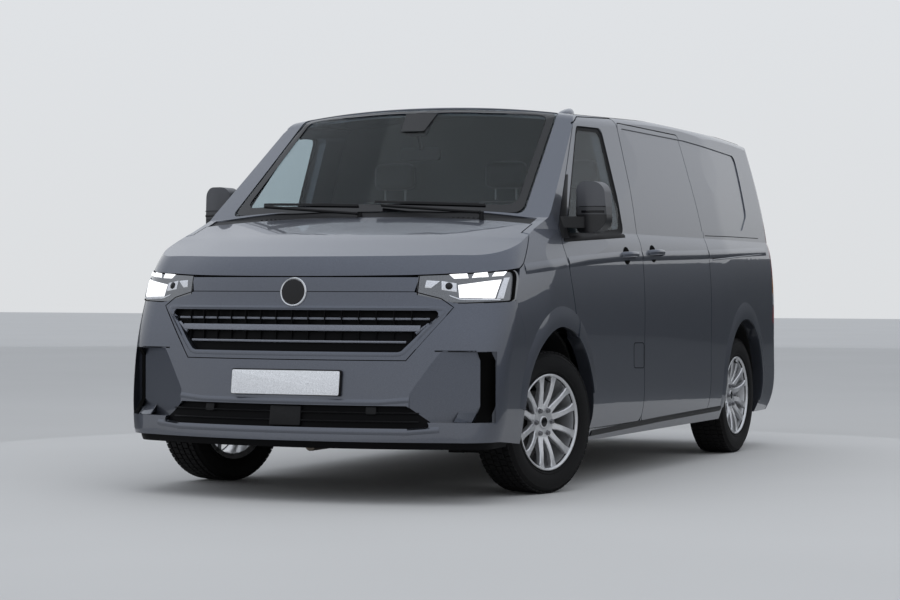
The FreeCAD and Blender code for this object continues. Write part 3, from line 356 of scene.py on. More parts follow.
def ribbon(name, view, points, width, made, body, lifts=(0.001, 0.001), closed=False, step=0.02, depth=0.004,
           tree=None):
    """A trim of even width along a path on the skin."""
    path = spaced(points, step, closed)
    count = len(path)
    edges = [], []
    for i, p in enumerate(path):
        before = path[i - 1] if closed or i > 0 else p
        after = path[(i + 1) % count] if closed or i < count - 1 else p
        along = (after - before).normalized()
        side = Vector((-along.y, along.x)) * width / 2
        edges[0].append(p - side)
        edges[1].append(p + side)
    return band(name, view, *edges, made, body, lifts, depth, closed, tree)


SIDES = ((1, "left"), (-1, "right"))
CREASE = [(-1.930, 1.083), (-1.412, 1.121), (-0.735, 1.154), (0.661, 1.182), (1.968, 1.217), (2.160, 1.222)]
CREASE_RUNS = [
    (-1.930, -1.468, "van_body"), (-1.425, -0.345, "front_door_{}"), (-0.331, 0.814, "van_body"),
    (0.830, 2.160, "van_body"),
]
CREASE_LIFTS = (0.0002, 0.0022, 0.0042, 0.0030, 0.0002)


def crease_height(y):
    for (y0, z0), (y1, z1) in zip(CREASE, CREASE[1:]):
        if y <= y1:
            return z0 + (z1 - z0) * (y - y0) / (y1 - y0)
    return CREASE[-1][1]


for number, (start_y, end_y, body) in enumerate(CREASE_RUNS, start=1):
    count = max(2, int((end_y - start_y) / 0.05))
    line = [(start_y + (end_y - start_y) * i / count) for i in range(count + 1)]
    line = [(y, crease_height(y)) for y in line]
    for side in ("left", "right"):
        ribbon("character_line_%d_%s" % (number, side), side, line, 0.052, paint, body.format(side), CREASE_LIFTS)


# Wheel openings: a wide flange of the same steel is rolled round each of them,
# split where the front door's shut line crosses it.

ARCH_Z = 0.360
ARCH_RADIUS = 0.4465
FLANGE_REACH = 0.500
FLANGE_RISE = 0.545
FRONT_AXLE_Y = -1.545
REAR_AXLE_Y = 1.555


def arch_edges(axle_y, first, last, count=44):
    """Inner and outer edge of a wheel opening's flange, from one angle to another."""
    inner, outer = [], []
    for i in range(count + 1):
        t = math.radians(first + (last - first) * i / count)
        c, s = math.cos(t), math.sin(t)
        inner.append((axle_y + ARCH_RADIUS * c, ARCH_Z + ARCH_RADIUS * s))
        outer.append((axle_y + FLANGE_REACH * c, ARCH_Z + FLANGE_RISE * s))
    return inner, outer


ARCH_LIFTS = (0.006, 0.0062, 0.0055, 0.0040, 0.0022, 0.0003)
FLANGES = [
    ("front_flange", FRONT_AXLE_Y, 64, 172, "van_body"),
    ("front_flange_door", FRONT_AXLE_Y, 14, 61, "front_door_{}"),
    ("rear_flange", REAR_AXLE_Y, -8, 188, "van_body"),
]
for side in ("left", "right"):
    for label, axle_y, first, last, body in FLANGES:
        inner_edge, outer_edge = arch_edges(axle_y, first, last)
        band("%s_%s" % (label, side), side, inner_edge, outer_edge, paint, body.format(side), ARCH_LIFTS, 0.003)


# Moulded black plastic: grained and satin, moulded in one colour throughout. The
# grilles, valance, cowl and sill strips are of it.

def grained(name, slot, colour, roughness, scale=260.0, strength=0.25, dust=0.0, mirror=0.5, metallic=0.0):
    """A moulded or cast finish: fine grain that changes the colour a little and stands in relief."""
    made, tree, shader = material(name, slot)
    dark, light = tuple(c * 0.8 for c in colour), tuple(c * 1.25 for c in colour)
    grain, tone = mottled(tree, scale, [(0.3, dark), (0.7, light)])
    bump = tree.nodes.new("ShaderNodeBump")
    put(bump, {"Strength": strength, "Distance": 0.0004})
    if dust:
        dusty(tree, shader, tone.outputs["Color"], 0.6, dust)
    else:
        links(tree, [(tone, "Color", shader, "Base Color")])
    links(tree, [(grain, "Fac", bump, "Height"), (bump, "Normal", shader, "Normal")])
    put(shader, {"Roughness": roughness, "Specular IOR Level": mirror, "Metallic": metallic})
    return made


black_plastic = grained("black_plastic", "black_plastic", (0.007, 0.007, 0.008), 0.5, dust=0.03, mirror=0.22)
gloss_black = grained("gloss_black", "black_plastic", (0.004, 0.004, 0.005), 0.15, strength=0.02, mirror=0.35)
# Near black for panel gaps and seams. On the handle cups, the air slots and the rail channel it is painted shade of a
# recess.
gap_and_shade_black = grained("gap_and_shade_black", "black_plastic", (0.002, 0.002, 0.002), 0.9, strength=0.0, mirror=0.05)
grille_black = grained("grille_black", "black_plastic", (0.003, 0.003, 0.0035), 0.55, mirror=0.08)
dress(["cowl_panel"], black_plastic)
dress(["front_grilles"], grille_black)


# Upper grille: a dark opening with upright fins behind one broad satin bar and
# two thin ones, all of moulded plastic and clipped into the nose panel.

def row_tree():
    """Sets copies of a piece along a path, x along it, y up and z to its outer side."""
    tree = bpy.data.node_groups.new("row_of_pieces", "GeometryNodeTree")
    for label, kind in (("Path", "Geometry"), ("Piece", "Object"), ("Count", "Int"), ("Finish", "Material")):
        tree.interface.new_socket(label, in_out="INPUT", socket_type="NodeSocket" + kind)
    tree.interface.new_socket("Row", in_out="OUTPUT", socket_type="NodeSocketGeometry")
    add = tree.nodes.new
    start, end = add("NodeGroupInput"), add("NodeGroupOutput")
    line, upright = add("GeometryNodeMeshToCurve"), add("GeometryNodeSetCurveNormal")
    evened = add("GeometryNodeResampleCurve")
    upright.mode = "Z_UP"
    piece, placed = add("GeometryNodeObjectInfo"), add("GeometryNodeInstanceOnPoints")
    tangent, normal = add("GeometryNodeInputTangent"), add("GeometryNodeInputNormal")
    first, second = add("FunctionNodeAlignRotationToVector"), add("FunctionNodeAlignRotationToVector")
    first.axis = "X"
    second.axis = "Z"
    second.pivot_axis = "X"
    real, finish = add("GeometryNodeRealizeInstances"), add("GeometryNodeSetMaterial")
    links(tree, [
        (start, "Path", line, "Mesh"), (line, "Curve", upright, "Curve"), (upright, "Curve", evened, "Curve"),
        (start, "Count", evened, "Count"), (evened, "Curve", placed, "Points"),
        (start, "Piece", piece, "Object"), (piece, "Geometry", placed, "Instance"),
        (tangent, "Tangent", first, "Vector"), (first, "Rotation", second, "Rotation"),
        (normal, "Normal", second, "Vector"), (second, "Rotation", placed, "Rotation"),
        (placed, "Instances", real, "Geometry"), (real, "Geometry", finish, "Geometry"),
        (start, "Finish", finish, "Material"), (finish, "Geometry", end, "Row"),
    ])
    return tree


ROW = row_tree()


def evaluated(piece):
    """Mesh of a piece with its modifiers applied."""
    return bpy.data.meshes.new_from_object(piece.evaluated_get(bpy.context.evaluated_depsgraph_get()))


def row_mesh(points, unit, count, made, closed=False):
    """Mesh of a row: a unit mesh of (corners, faces), repeated along 3-D points."""
    edges = [(i, i + 1) for i in range(len(points) - 1)] + ([(len(points) - 1, 0)] if closed else [])
    unit_piece = added("unit", mesh_of("unit", *unit))
    line = added("line", mesh_of("line", points, [], edges))
    rows = line.modifiers.new("row", "NODES")
    rows.node_group = ROW
    names = {item.name: item.identifier for item in ROW.interface.items_tree if item.in_out == "INPUT"}
    rows[names["Piece"]] = unit_piece
    rows[names["Count"]] = count
    rows[names["Finish"]] = made
    bpy.context.view_layer.update()
    mesh = evaluated(line)
    for helper in (unit_piece, line):
        bpy.data.objects.remove(helper)
    return mesh


def block_unit(length, height, depth, bevel=0.0, low=0.0):
    """Unit for a row: a block with chamfered outer edges, its foot at z = low."""
    a, b = length / 2, height / 2
    levels = [(a, b, low), (a, b, low + depth - bevel), (a - bevel, b - bevel, low + depth)]
    corners = [(sx * x, sy * y, z) for x, y, z in levels for sx, sy in ((-1, -1), (1, -1), (1, 1), (-1, 1))]
    faces = [(3, 2, 1, 0), (8, 9, 10, 11)]
    for level in (0, 4):
        faces += [(level + k, level + (k + 1) % 4, level + 4 + (k + 1) % 4, level + 4 + k) for k in range(4)]
    return corners, faces


def row(name, points, unit, count, made, body, closed=False):
    mesh = row_mesh(points, unit, count, made, closed)
    return finished(name, mesh, made, body)


satin_bar = grained("satin_bar", "black_plastic", (0.16, 0.17, 0.20), 0.25, strength=0.05)
grille_tree = tree_of(["front_grilles"])
GRILLE_MID = 0.793
FIN_HALF = 0.580
FINS = 15
FIN_STEPS = int(2 * FIN_HALF / 0.03)
fin_places = [-FIN_HALF + 2 * FIN_HALF * i / FIN_STEPS for i in range(FIN_STEPS + 1)]
fin_hits = [cast("front", x, GRILLE_MID, grille_tree) for x in fin_places]
row("grille_fins", [hit[0] for hit in fin_hits if hit], block_unit(0.005, 0.186, 0.017, 0.001, -0.002), FINS,
    grille_black, "van_body")
GRILLE_BARS = [
    ("grille_bar", 0.618, 0.802, 0.026, 0.026),
    ("grille_thin_upper", 0.655, 0.846, 0.009, 0.021),
    ("grille_thin_lower", 0.560, 0.740, 0.009, 0.021),
]
for label, half, z, high, lift in GRILLE_BARS:
    ribbon(label, "front", [(-half, z), (half, z)], high, satin_bar, "van_body", (lift - 0.003, lift, lift - 0.003),
           depth=-0.012, tree=grille_tree)
for sign, side in reversed(SIDES):
    line = [(sign * 0.600, 0.780), (sign * 0.655, 0.822)]
    ribbon("grille_step_" + side, "front", line, 0.014, satin_bar, "van_body", (0.018, 0.024, 0.018), depth=-0.012,
           tree=grille_tree)


# Nose panel: a lip of body colour is pressed round the grille opening, and thin
# dark seams show where the panel meets the hood, the lamps and the bumper.

def softened(points, radius, closed=True, steps=5):
    """Rounds the corners of an outline."""
    result = []
    count = len(points)
    for i in range(count):
        p = Vector(points[i])
        if not closed and i in (0, count - 1):
            result.append(p)
            continue
        before, after = Vector(points[i - 1]) - p, Vector(points[(i + 1) % count]) - p
        run = min(radius, before.length * 0.45, after.length * 0.45)
        start, end = p + before.normalized() * run, p + after.normalized() * run
        for k in range(steps + 1):
            t = k / steps
            result.append(start * (1 - t) ** 2 + p * 2 * t * (1 - t) + end * t ** 2)
    return result


GRILLE_LIP = softened([(-0.738, 0.899), (0.738, 0.899), (0.552, 0.686), (-0.552, 0.686)], 0.03)
ribbon("grille_lip", "front", [tuple(p) for p in GRILLE_LIP], 0.020, paint, "van_body", (0.0003, 0.0035, 0.0003),
       closed=True, depth=0.003, tree=tree_of(["nose_panel", "front_bumper"]))
ribbon("nose_seam", "front", [(-0.584, 0.975), (0.584, 0.975)], 0.003, gap_and_shade_black, "van_body", (0.0006, 0.0006))
PANEL_EDGE = [(0.584, 0.975), (0.705, 0.944), (0.764, 0.904), (0.745, 0.878), (0.574, 0.659)]
for sign, side in reversed(SIDES):
    ribbon("nose_panel_seam_" + side, "front", [(sign * x, z) for x, z in PANEL_EDGE], 0.004, gap_and_shade_black, "van_body",
           (0.0007, 0.0007))
ribbon("nose_panel_seam_foot", "front", [(-0.574, 0.659), (0.574, 0.659)], 0.004, gap_and_shade_black, "van_body",
       (0.0007, 0.0007))


# Badge: a plain turned disc with a bright metal rim, clipped into the nose
# panel. It carries no mark.

def turned(name, centre, axis, rows, made, body, sides=48, angle=35):
    """A round piece from rows of (radius, along the axis)."""
    axis = Vector(axis).normalized()
    across = axis.orthogonal().normalized()
    other = axis.cross(across)
    corners, faces = [], []
    for i in range(sides):
        t = 2 * math.pi * i / sides
        way = across * math.cos(t) + other * math.sin(t)
        corners += [Vector(centre) + way * r + axis * h for r, h in rows]
    wide = len(rows)
    for i in range(sides):
        j = (i + 1) % sides
        for k in range(wide - 1):
            faces.append([i * wide + k, j * wide + k, j * wide + k + 1, i * wide + k + 1])
    return piece_of(name, corners, faces, made, body, angle)


bright_metal = grained("bright_metal", "rim_alloy", (0.62, 0.63, 0.65), 0.16, strength=0.03, metallic=1.0)
badge_place, badge_way = cast("front", 0.0, 0.973)
BADGE_RIM = [
    (0.0, -0.006), (0.068, -0.006), (0.069, 0.004), (0.066, 0.0075), (0.061, 0.0065), (0.059, 0.003), (0.0, 0.003),
]
BADGE_FACE = [(0.0, 0.0), (0.0585, 0.0), (0.0585, 0.0042), (0.050, 0.0055), (0.0, 0.0065)]
turned("badge_rim", badge_place, badge_way, BADGE_RIM, bright_metal, "van_body")
turned("badge_face", badge_place, badge_way, BADGE_FACE, gloss_black, "van_body")


# Lower grille and valance: black plastic behind the bumper skin, with thin bars,
# two sensor covers and a middle block for the radar. The air slots are dark
# bands of painted shade over their hollows.

def slab(name, outline, place, thickness, made, body, round_by=0.0, segments=2):
    """A plate: an outline of (a, b) in the plane of a place matrix, raised along its third axis."""
    work = bmesh.new()
    face = work.faces.new([work.verts.new((a, b, 0)) for a, b in outline])
    raised = bmesh.ops.extrude_face_region(work, geom=[face])
    top = [v for v in raised["geom"] if isinstance(v, bmesh.types.BMVert)]
    bmesh.ops.translate(work, verts=top, vec=(0, 0, thickness))
    if round_by:
        rim = [e for e in work.edges if all(v in top for v in e.verts)]
        bmesh.ops.bevel(work, geom=rim, offset=round_by, segments=segments, affect="EDGES", profile=0.5)
    work.transform(place)
    mesh = bpy.data.meshes.new(name)
    work.to_mesh(mesh)
    work.free()
    return finished(name, mesh, made, body)


def facing(place, normal, upward=Vector((0, 0, 1))):
    """Matrix whose third axis is the normal and whose second axis points up."""
    third = Vector(normal).normalized()
    first = upward.cross(third).normalized()
    second = third.cross(first)
    turn = Matrix((first, second, third)).transposed()
    return Matrix.Translation(place) @ turn.to_4x4()


def rectangle(width, height, radius=0.0, steps=4):
    a, b = width / 2, height / 2
    corners = [(-a, -b), (a, -b), (a, b), (-a, b)]
    return [tuple(p) for p in softened(corners, radius, True, steps)] if radius else corners


for label, z in (("lower_bar_high", 0.418), ("lower_bar_low", 0.378)):
    ribbon(label, "front", [(-0.640, z), (0.640, z)], 0.006, black_plastic, "van_body",
           (0.013, 0.016, 0.013), depth=-0.006, tree=grille_tree)
COVERS = [
    ("radar_cover", 0.0, 0.398, 0.160, 0.092), ("sensor_cover_left", 0.420, 0.428, 0.050, 0.036),
    ("sensor_cover_right", -0.420, 0.428, 0.050, 0.036),
]
for label, x, z, width, high in COVERS:
    middle, way = cast("front", x, z, grille_tree)
    stand = facing(middle + way * 0.004, way)
    slab(label, rectangle(width, high, 0.008), stand, 0.012, black_plastic, "van_body", 0.003)
RIDGES = [("chin_ridge", 0.740, 0.334, 0.030, 0.006), ("brow_ridge", 0.600, 0.468, 0.026, 0.005)]
for label, half, z, width, lift in RIDGES:
    line = [(-half, z + 0.012), (-half + 0.14, z), (half - 0.14, z), (half, z + 0.012)]
    ribbon(label, "front", line, width, paint, "van_body", (0.0002, lift * 0.7, lift, lift * 0.5, 0.0002),
           tree=tree_of(["front_bumper"]))
SLOT_HEIGHTS = (0.380, 0.45, 0.52, 0.59, 0.66, 0.699)
for sign, side in SIDES:
    apron = [[(sign * x, z) for x in (0.800, 0.820, 0.840, 0.860, 0.878)] for z in (0.3795, 0.426)]
    band("slot_apron_" + side, "front", *apron, paint, "van_body", (0.0015,) * 5, 0.004)
    # A flat dark band over each slot's hollow is painted shade of the deep slot.
    inner_edge, outer_edge = [[(sign * x, z) for z in SLOT_HEIGHTS] for x in (0.889, 0.940)]
    band("air_slot_" + side, "front", inner_edge, outer_edge, gap_and_shade_black, "van_body", (0.0015,) * 5, 0.002)
    line = [(sign * 0.700, 0.7035), (sign * 0.884, 0.7035)]
    ribbon("air_slot_seam_" + side, "front", line, 0.006, gap_and_shade_black, "van_body", (0.0008, 0.0008))


# Number plate: a blank white plate in a black plastic holder, fixed to the
# bumper with two capped screws.

plate_white = grained("plate_white", "body_paint", (0.74, 0.75, 0.77), 0.35, strength=0.02)
PLATE_Z = 0.553
plate_place, plate_way = cast("front", 0.0, PLATE_Z)
PLATE_FLAT = facing(plate_place + plate_way * 0.001, plate_way)
slab("plate_holder", rectangle(0.568, 0.120, 0.010), Matrix.Translation((0, 0.012, 0)) @ PLATE_FLAT, 0.018,
     black_plastic, "van_body", 0.003)
slab("plate", rectangle(0.560, 0.112, 0.008), Matrix.Translation((0, -0.006, 0)) @ PLATE_FLAT, 0.003,
     plate_white, "van_body", 0.001)
SCREW_CAP = [(0.0, 0.0), (0.006, 0.0), (0.006, 0.0015), (0.004, 0.0025), (0.0, 0.0025)]
for sign, side in SIDES:
    turned("plate_screw_" + side, plate_place + Vector((sign * 0.12, -0.009, 0.0)), plate_way, SCREW_CAP, plate_white,
           "van_body", 16)


# Headlamps: a dark moulded housing under a clear cover, with three lit blocks
# above, one large lit block below, a small projector and a bright surround.

lamp_dark = grained("lamp_dark", "lamp_glass", (0.12, 0.125, 0.135), 0.10, strength=0.04)
put(lamp_dark.node_tree.nodes["Principled BSDF"], {"Coat Weight": 1.0})
dress(["headlamps"], lamp_dark)
lamp_white = grained("lamp_white", "lamp_glass", (0.93, 0.93, 0.95), 0.2, strength=0.0)
lamp_shader = lamp_white.node_tree.nodes["Principled BSDF"]
put(lamp_shader, {"Emission Color": (1.0, 1.0, 1.0, 1.0), "Emission Strength": 0.75})
lamp_silver = grained("lamp_silver", "lamp_glass", (0.66, 0.67, 0.70), 0.14, strength=0.0, metallic=0.6)


def even(points, count, closed=False):
    """The same path in a number of even steps."""
    rows = [Vector(p) for p in points] + ([Vector(points[0])] if closed else [])
    lengths = [(q - p).length for p, q in zip(rows, rows[1:])]
    result = []
    for i in range(count if closed else count + 1):
        left, k = sum(lengths) * i / count, 0
        while k < len(lengths) - 1 and left > lengths[k]:
            left -= lengths[k]
            k += 1
        result.append(rows[k].lerp(rows[k + 1], min(1.0, left / lengths[k])))
    return result


LIT = [
    ("lit_block_1", [(0.728, 1.0555), (0.803, 1.0600)], [(0.750, 1.0355), (0.812, 1.0380)], lamp_white, 0.0022),
    ("lit_block_2", [(0.833, 1.0610), (0.884, 1.0665)], [(0.826, 1.0395), (0.893, 1.0455)], lamp_white, 0.0022),
    ("lit_block_3", [(0.911, 1.0660), (0.950, 1.0700)], [(0.905, 1.0470), (0.944, 1.0510)], lamp_white, 0.0022),
    ("lit_main", [(0.772, 1.006), (0.940, 1.032)], [(0.784, 0.948), (0.930, 0.946)], lamp_white, 0.0030),
    ("lamp_surround", [(0.946, 1.040), (0.962, 1.043)], [(0.936, 0.944), (0.958, 0.945)], lamp_silver, 0.0018),
    ("lamp_sill", [(0.735, 0.962), (0.785, 0.945), (0.950, 0.943)], [(0.745, 0.953), (0.790, 0.937), (0.948, 0.936)],
     lamp_silver, 0.0018),
    ("lamp_blade", [(0.632, 1.028), (0.692, 1.024)], [(0.628, 0.994), (0.656, 0.992)], lamp_silver, 0.0016),
    ("projector_frame", [(0.698, 1.025), (0.764, 1.014)], [(0.703, 0.984), (0.770, 0.974)], lamp_silver, 0.0018),
]


def outer_line(name, sign, inset):
    """Outline of a node's left or right half, seen from the front and drawn in by an inset."""
    corners = [v.co for v in nodes[name].data.vertices if v.co.x * sign > 0]
    spots = sorted({(round(c.x * sign, 5), round(c.z, 5)) for c in corners})
    rims = []
    for run in (spots, list(reversed(spots))):
        rim = []
        for p in run:
            while len(rim) > 1 and ((rim[-1][0] - rim[-2][0]) * (p[1] - rim[-2][1])
                                    - (rim[-1][1] - rim[-2][1]) * (p[0] - rim[-2][0])) <= 0:
                rim.pop()
            rim.append(p)
        rims += rim[:-1]
    middle = sum((Vector(p) for p in rims), Vector((0, 0))) / len(rims)
    rims = [Vector(p) + (middle - Vector(p)).normalized() * inset for p in rims]
    return [Vector((sign * p.x, p.y)) for p in rims]


lamp_tree = tree_of(["headlamps"])
PROJECTOR = [(0.0, -0.002), (0.017, -0.002), (0.017, 0.004), (0.013, 0.006), (0.0085, 0.009), (0.0, 0.0105)]
for sign, side in SIDES:
    for label, upper, lower, made, lift in LIT:
        edges = [[(sign * p.x, p.y) for p in even(edge, 14)] for edge in (upper, lower)]
        lifts = (lift * 0.3,) + (lift,) * 7 + (lift * 0.3,)
        band("%s_%s" % (label, side), "front", *edges, made, "van_body", lifts, 0.003)
    line = even(outer_line("headlamps", sign, 0.0025), 90, True)
    ribbon("lamp_edge_" + side, "front", line, 0.006, gap_and_shade_black, "van_body", (0.0008, 0.0014, 0.0008), closed=True,
           tree=lamp_tree)
    eye_place, eye_way = cast("front", sign * 0.733, 1.001)
    turned("projector_" + side, eye_place, eye_way, PROJECTOR, gloss_black, "van_body", 28)


# Hood: pressed steel over a wide black gap, with a rubber seal in it on the
# nose panel's upper edge.

HOOD_SEAL = [(-0.600, 1.0425), (0.600, 1.0425)]
ribbon("hood_seal", "front", HOOD_SEAL, 0.010, gap_and_shade_black, "van_body", (-0.006, -0.006), depth=0.012,
       tree=tree_of(["nose_panel"]))


# Windscreen: clear laminated glass with a black printed border, glued in. A
# camera housing and the inner mirror stand behind its upper middle.

def glassy(name, slot, colour, roughness=0.0):
    """Glass with a faint haze that varies over it."""
    made, tree, shader = material(name, slot)
    tone = mottled(tree, 3.0, [(0.3, tuple(c * 0.97 for c in colour)), (0.7, colour)])[1]
    links(tree, [(tone, "Color", shader, "Base Color")])
    put(shader, {"Transmission Weight": 1.0, "Roughness": roughness, "IOR": 1.16})
    return made


dress(["windscreen"], glassy("screen_glass", "side_glass", (0.72, 0.80, 0.82)))
printed_black = grained("printed_black", "black_plastic", (0.004, 0.004, 0.005), 0.12, strength=0.0, mirror=0.35)
screen_tree = tree_of(["windscreen"])
SCREEN_EDGE = [
    (0, -1.602), (0.400, -1.588), (0.800, -1.540), (0.712, -0.846), (0.4, -0.912), (0, -0.936),
    (-0.4, -0.912), (-0.712, -0.846), (-0.800, -1.540), (-0.400, -1.588),
]
SCREEN_CLEAR = [
    (0, -1.556), (0.395, -1.543), (0.752, -1.498), (0.682, -0.895), (0.39, -0.945), (0, -0.965),
    (-0.39, -0.945), (-0.682, -0.895), (-0.752, -1.498), (-0.395, -1.543),
]


def divided(edge, count):
    """A closed outline with each of its runs divided evenly."""
    return [edge[i].lerp(edge[(i + 1) % len(edge)], k / count) for i in range(len(edge)) for k in range(count)]


frit_edges = [divided(softened(outline, 0.06, True, 6), 4) for outline in (SCREEN_EDGE, SCREEN_CLEAR)]
band("screen_border", "top", *frit_edges, printed_black, "van_body", (0.0006,) * 4, 0.002, True, screen_tree)
PATCH_TOP, PATCH_TOP_HALF, PATCH_LOW_HALF = -0.965, 0.09, 0.065
patch_rows = [[(sign * (PATCH_TOP_HALF + (PATCH_LOW_HALF - PATCH_TOP_HALF) * k / 5), PATCH_TOP - 0.024 * k)
               for k in range(6)] for sign in (-1, 1)]
band("camera_patch", "top", *patch_rows, printed_black, "van_body", (0.0006,) * 4, 0.002, False, screen_tree)
lining_black = grained("lining_black", "dash_plastic", (0.014, 0.014, 0.016), 0.75, mirror=0.3)
under_place, under_way = cast("top", 0.0, -1.02, screen_tree)
HOUSING = facing(under_place - under_way * 0.050, under_way, Vector((0, 1, 0)))
slab("camera_housing", rectangle(0.120, 0.130, 0.02), HOUSING, 0.036, lining_black, "van_body", 0.012, 3)
STALK = [(0.0, -0.03), (0.010, -0.03), (0.008, 0.03), (0.014, 0.06), (0.0, 0.06)]
turned("mirror_stalk", Vector((0.0, -1.000, 1.770)), Vector((0.0, 0.35, -0.94)), STALK, lining_black, "van_body", 16)
slab("inner_mirror", rectangle(0.230, 0.070, 0.025, 5),
     facing(Vector((0.0, -0.985, 1.690)), Vector((0.0, 1.0, -0.15))), 0.022, lining_black, "van_body", 0.008, 3)


# Wipers and cowl: rubber blades in black plastic holders rest on the glass, on
# the arms of the cowl panel, which has a row of thin slats for the air intake.

def swept(name, points, sections, made, body, closed=False, upward=Vector((0, 0, 1)), angle=50):
    """A bar along 3-D points. Each section is a list of (across, up), one for all or one per point."""
    if not isinstance(sections[0][0], (list, tuple)):
        sections = [sections] * len(points)
    corners = []
    count = len(points)
    for i, p in enumerate(points):
        before = Vector(points[i - 1]) if closed or i > 0 else Vector(p)
        after = Vector(points[(i + 1) % count]) if closed or i < count - 1 else Vector(p)
        along = (after - before).normalized()
        across = along.cross(upward).normalized()
        high = across.cross(along)
        corners += [Vector(p) + across * a + high * b for a, b in sections[i]]
    return piece_of(name, corners, ring_faces(count, len(sections[0]), closed), made, body, angle)


BLADE = [(-0.006, -0.008), (0.006, -0.008), (0.004, 0.002), (-0.001, 0.005), (-0.005, 0.001)]
BLADE_STEPS = 20
for label, x0, x1 in (("outer", -0.640, -0.075), ("inner", 0.010, 0.600)):
    blade = []
    for i in range(BLADE_STEPS + 1):
        x = x0 + (x1 - x0) * i / BLADE_STEPS
        y = -1.545 - 0.020 * i / BLADE_STEPS + 0.055 * (x / 0.7) ** 2
        hit = cast("top", x, y, screen_tree)
        blade.append(hit[0] + hit[1] * 0.008)
    swept("wiper_blade_" + label, blade, BLADE, black_plastic, "van_body")
COWL_VENTS = [(-0.60, -1.604), (-0.30, -1.614), (0.0, -1.618), (0.30, -1.614), (0.60, -1.604)]
cowl_tree = tree_of(["cowl_panel"])
vent_line = []
for p in spaced(COWL_VENTS, 0.04):
    hit = cast("top", p.x, p.y, cowl_tree)
    if hit and (not vent_line or abs(hit[0].z - vent_line[-1].z) < 0.010):
        vent_line.append(hit[0])
row("cowl_slats", vent_line, block_unit(0.010, 0.003, 0.016, 0.001, -0.008), 46, black_plastic, "van_body")


# Side windows: tinted glass in a black rubber frame that is widest at the rear
# edge, with a belt strip under it. A black sail covers the corner in front.

side_glass = glassy("side_glass", "side_glass", (0.50, 0.57, 0.60))
dress(["door_glass_left", "door_glass_right"], side_glass)
rubber_black = grained("rubber_black", "black_plastic", (0.005, 0.005, 0.006), 0.55, strength=0.1, mirror=0.12)
WINDOW = softened([(-1.372, 1.240), (-1.330, 1.310), (-0.884, 1.824), (-0.538, 1.831), (-0.550, 1.275)], 0.045)
WINDOW_INNER = softened([(-1.330, 1.262), (-1.300, 1.312), (-0.876, 1.800), (-0.575, 1.806), (-0.590, 1.300)], 0.040)
SAIL_FRONT = [(-1.440, 1.236), (-1.444, 1.300), (-1.190, 1.560)]
SAIL_REAR = [(-1.335, 1.245), (-1.318, 1.344), (-1.160, 1.560)]
SAIL_STEPS = 24
for side in ("left", "right"):
    door_tree = tree_of(["door_" + side, "door_glass_" + side])
    band("window_rubber_" + side, side, divided(WINDOW, 3), divided(WINDOW_INNER, 3), rubber_black,
         "front_door_" + side, (0.0012, 0.0016, 0.0016, 0.0008), 0.003, True, door_tree)
    ribbon("belt_strip_" + side, side, [(-1.420, 1.228), (-0.990, 1.247), (-0.548, 1.266)], 0.020, rubber_black,
           "front_door_" + side, (0.0005, 0.0040, 0.0005), tree=door_tree)
    sail_edges = []
    for outline in (SAIL_FRONT, SAIL_REAR):
        edge = spaced(outline, 0.02)
        sail_edges.append([edge[int(round(i * (len(edge) - 1) / SAIL_STEPS))] for i in range(SAIL_STEPS + 1)])
    band("sail_" + side, side, *sail_edges, black_plastic, "front_door_" + side,
         (0.0008, 0.003, 0.003, 0.003, 0.0008), 0.003, False, door_tree)


# Door mirrors: moulded heads, dark grey above and black below, with a lamp
# strip on the front edge and mirror glass at the back.

def by_height(tree, shader, low, high, stops):
    """Lays a moulding's colours in bands, from one height above the ground to another."""
    place, split = tree.nodes.new("ShaderNodeTexCoord"), tree.nodes.new("ShaderNodeSeparateXYZ")
    rise = tree.nodes.new("ShaderNodeMapRange")
    put(rise, {"From Min": low, "From Max": high})
    tone = ramp_node(tree, stops)
    links(tree, [
        (place, "Object", split, "Vector"), (split, "Z", rise, "Value"), (rise, "Result", tone, "Fac"),
        (tone, "Color", shader, "Base Color"),
    ])
    return place


mirror_plastic, mirror_maker, mirror_shader = material("mirror_plastic", "black_plastic")
# The black and the grey each turn a little lighter towards their tops: painted light from above.
FOOT_LOW, FOOT_HIGH, MIDDLE_GREY = (0.008, 0.008, 0.009), (0.010, 0.010, 0.011), (0.045, 0.046, 0.050)
HEAD_LOW, HEAD_HIGH = (0.070, 0.072, 0.080), (0.075, 0.078, 0.088)
by_height(mirror_maker, mirror_shader, 1.26, 1.53, [
    (0.0, FOOT_LOW), (0.355, FOOT_HIGH), (0.36, MIDDLE_GREY), (0.50, MIDDLE_GREY), (0.505, HEAD_LOW),
    (1.0, HEAD_HIGH),
])
put(mirror_shader, {"Roughness": 0.42})
dress(["mirror_left", "mirror_right"], mirror_plastic)
mirror_glass = grained("mirror_glass", "side_glass", (0.75, 0.77, 0.80), 0.03, strength=0.0, metallic=1.0)
MIRROR_GLASS = softened([(-0.070, -0.085), (0.066, -0.085), (0.060, 0.100), (-0.062, 0.100)], 0.03)
for sign, side in SIDES:
    body = "front_door_" + side
    back = facing(Vector((sign * 1.055, -1.1615, 1.395)), Vector((0, 1, 0)))
    slab("mirror_glass_" + side, [tuple(p) for p in MIRROR_GLASS], back, 0.002, mirror_glass, body, 0.0008)
    mirror_tree = tree_of(["mirror_" + side])
    ribbon("mirror_lamp_" + side, "front", [(sign * 1.010, 1.3705), (sign * 1.125, 1.3705)], 0.012, gloss_black, body,
           (0.0006, 0.0022, 0.0006), tree=mirror_tree)
    ribbon("mirror_joint_" + side, "front", [(sign * 0.996, 1.396), (sign * 1.130, 1.396)], 0.003, gap_and_shade_black, body,
           (0.0006, 0.0006), tree=mirror_tree)


# Side door handles: a moulded bar in body colour over its recess, screwed on
# from inside, with a key plate beside it on the front doors. The recess's shade
# is painted as a flat dark oval on the panel.

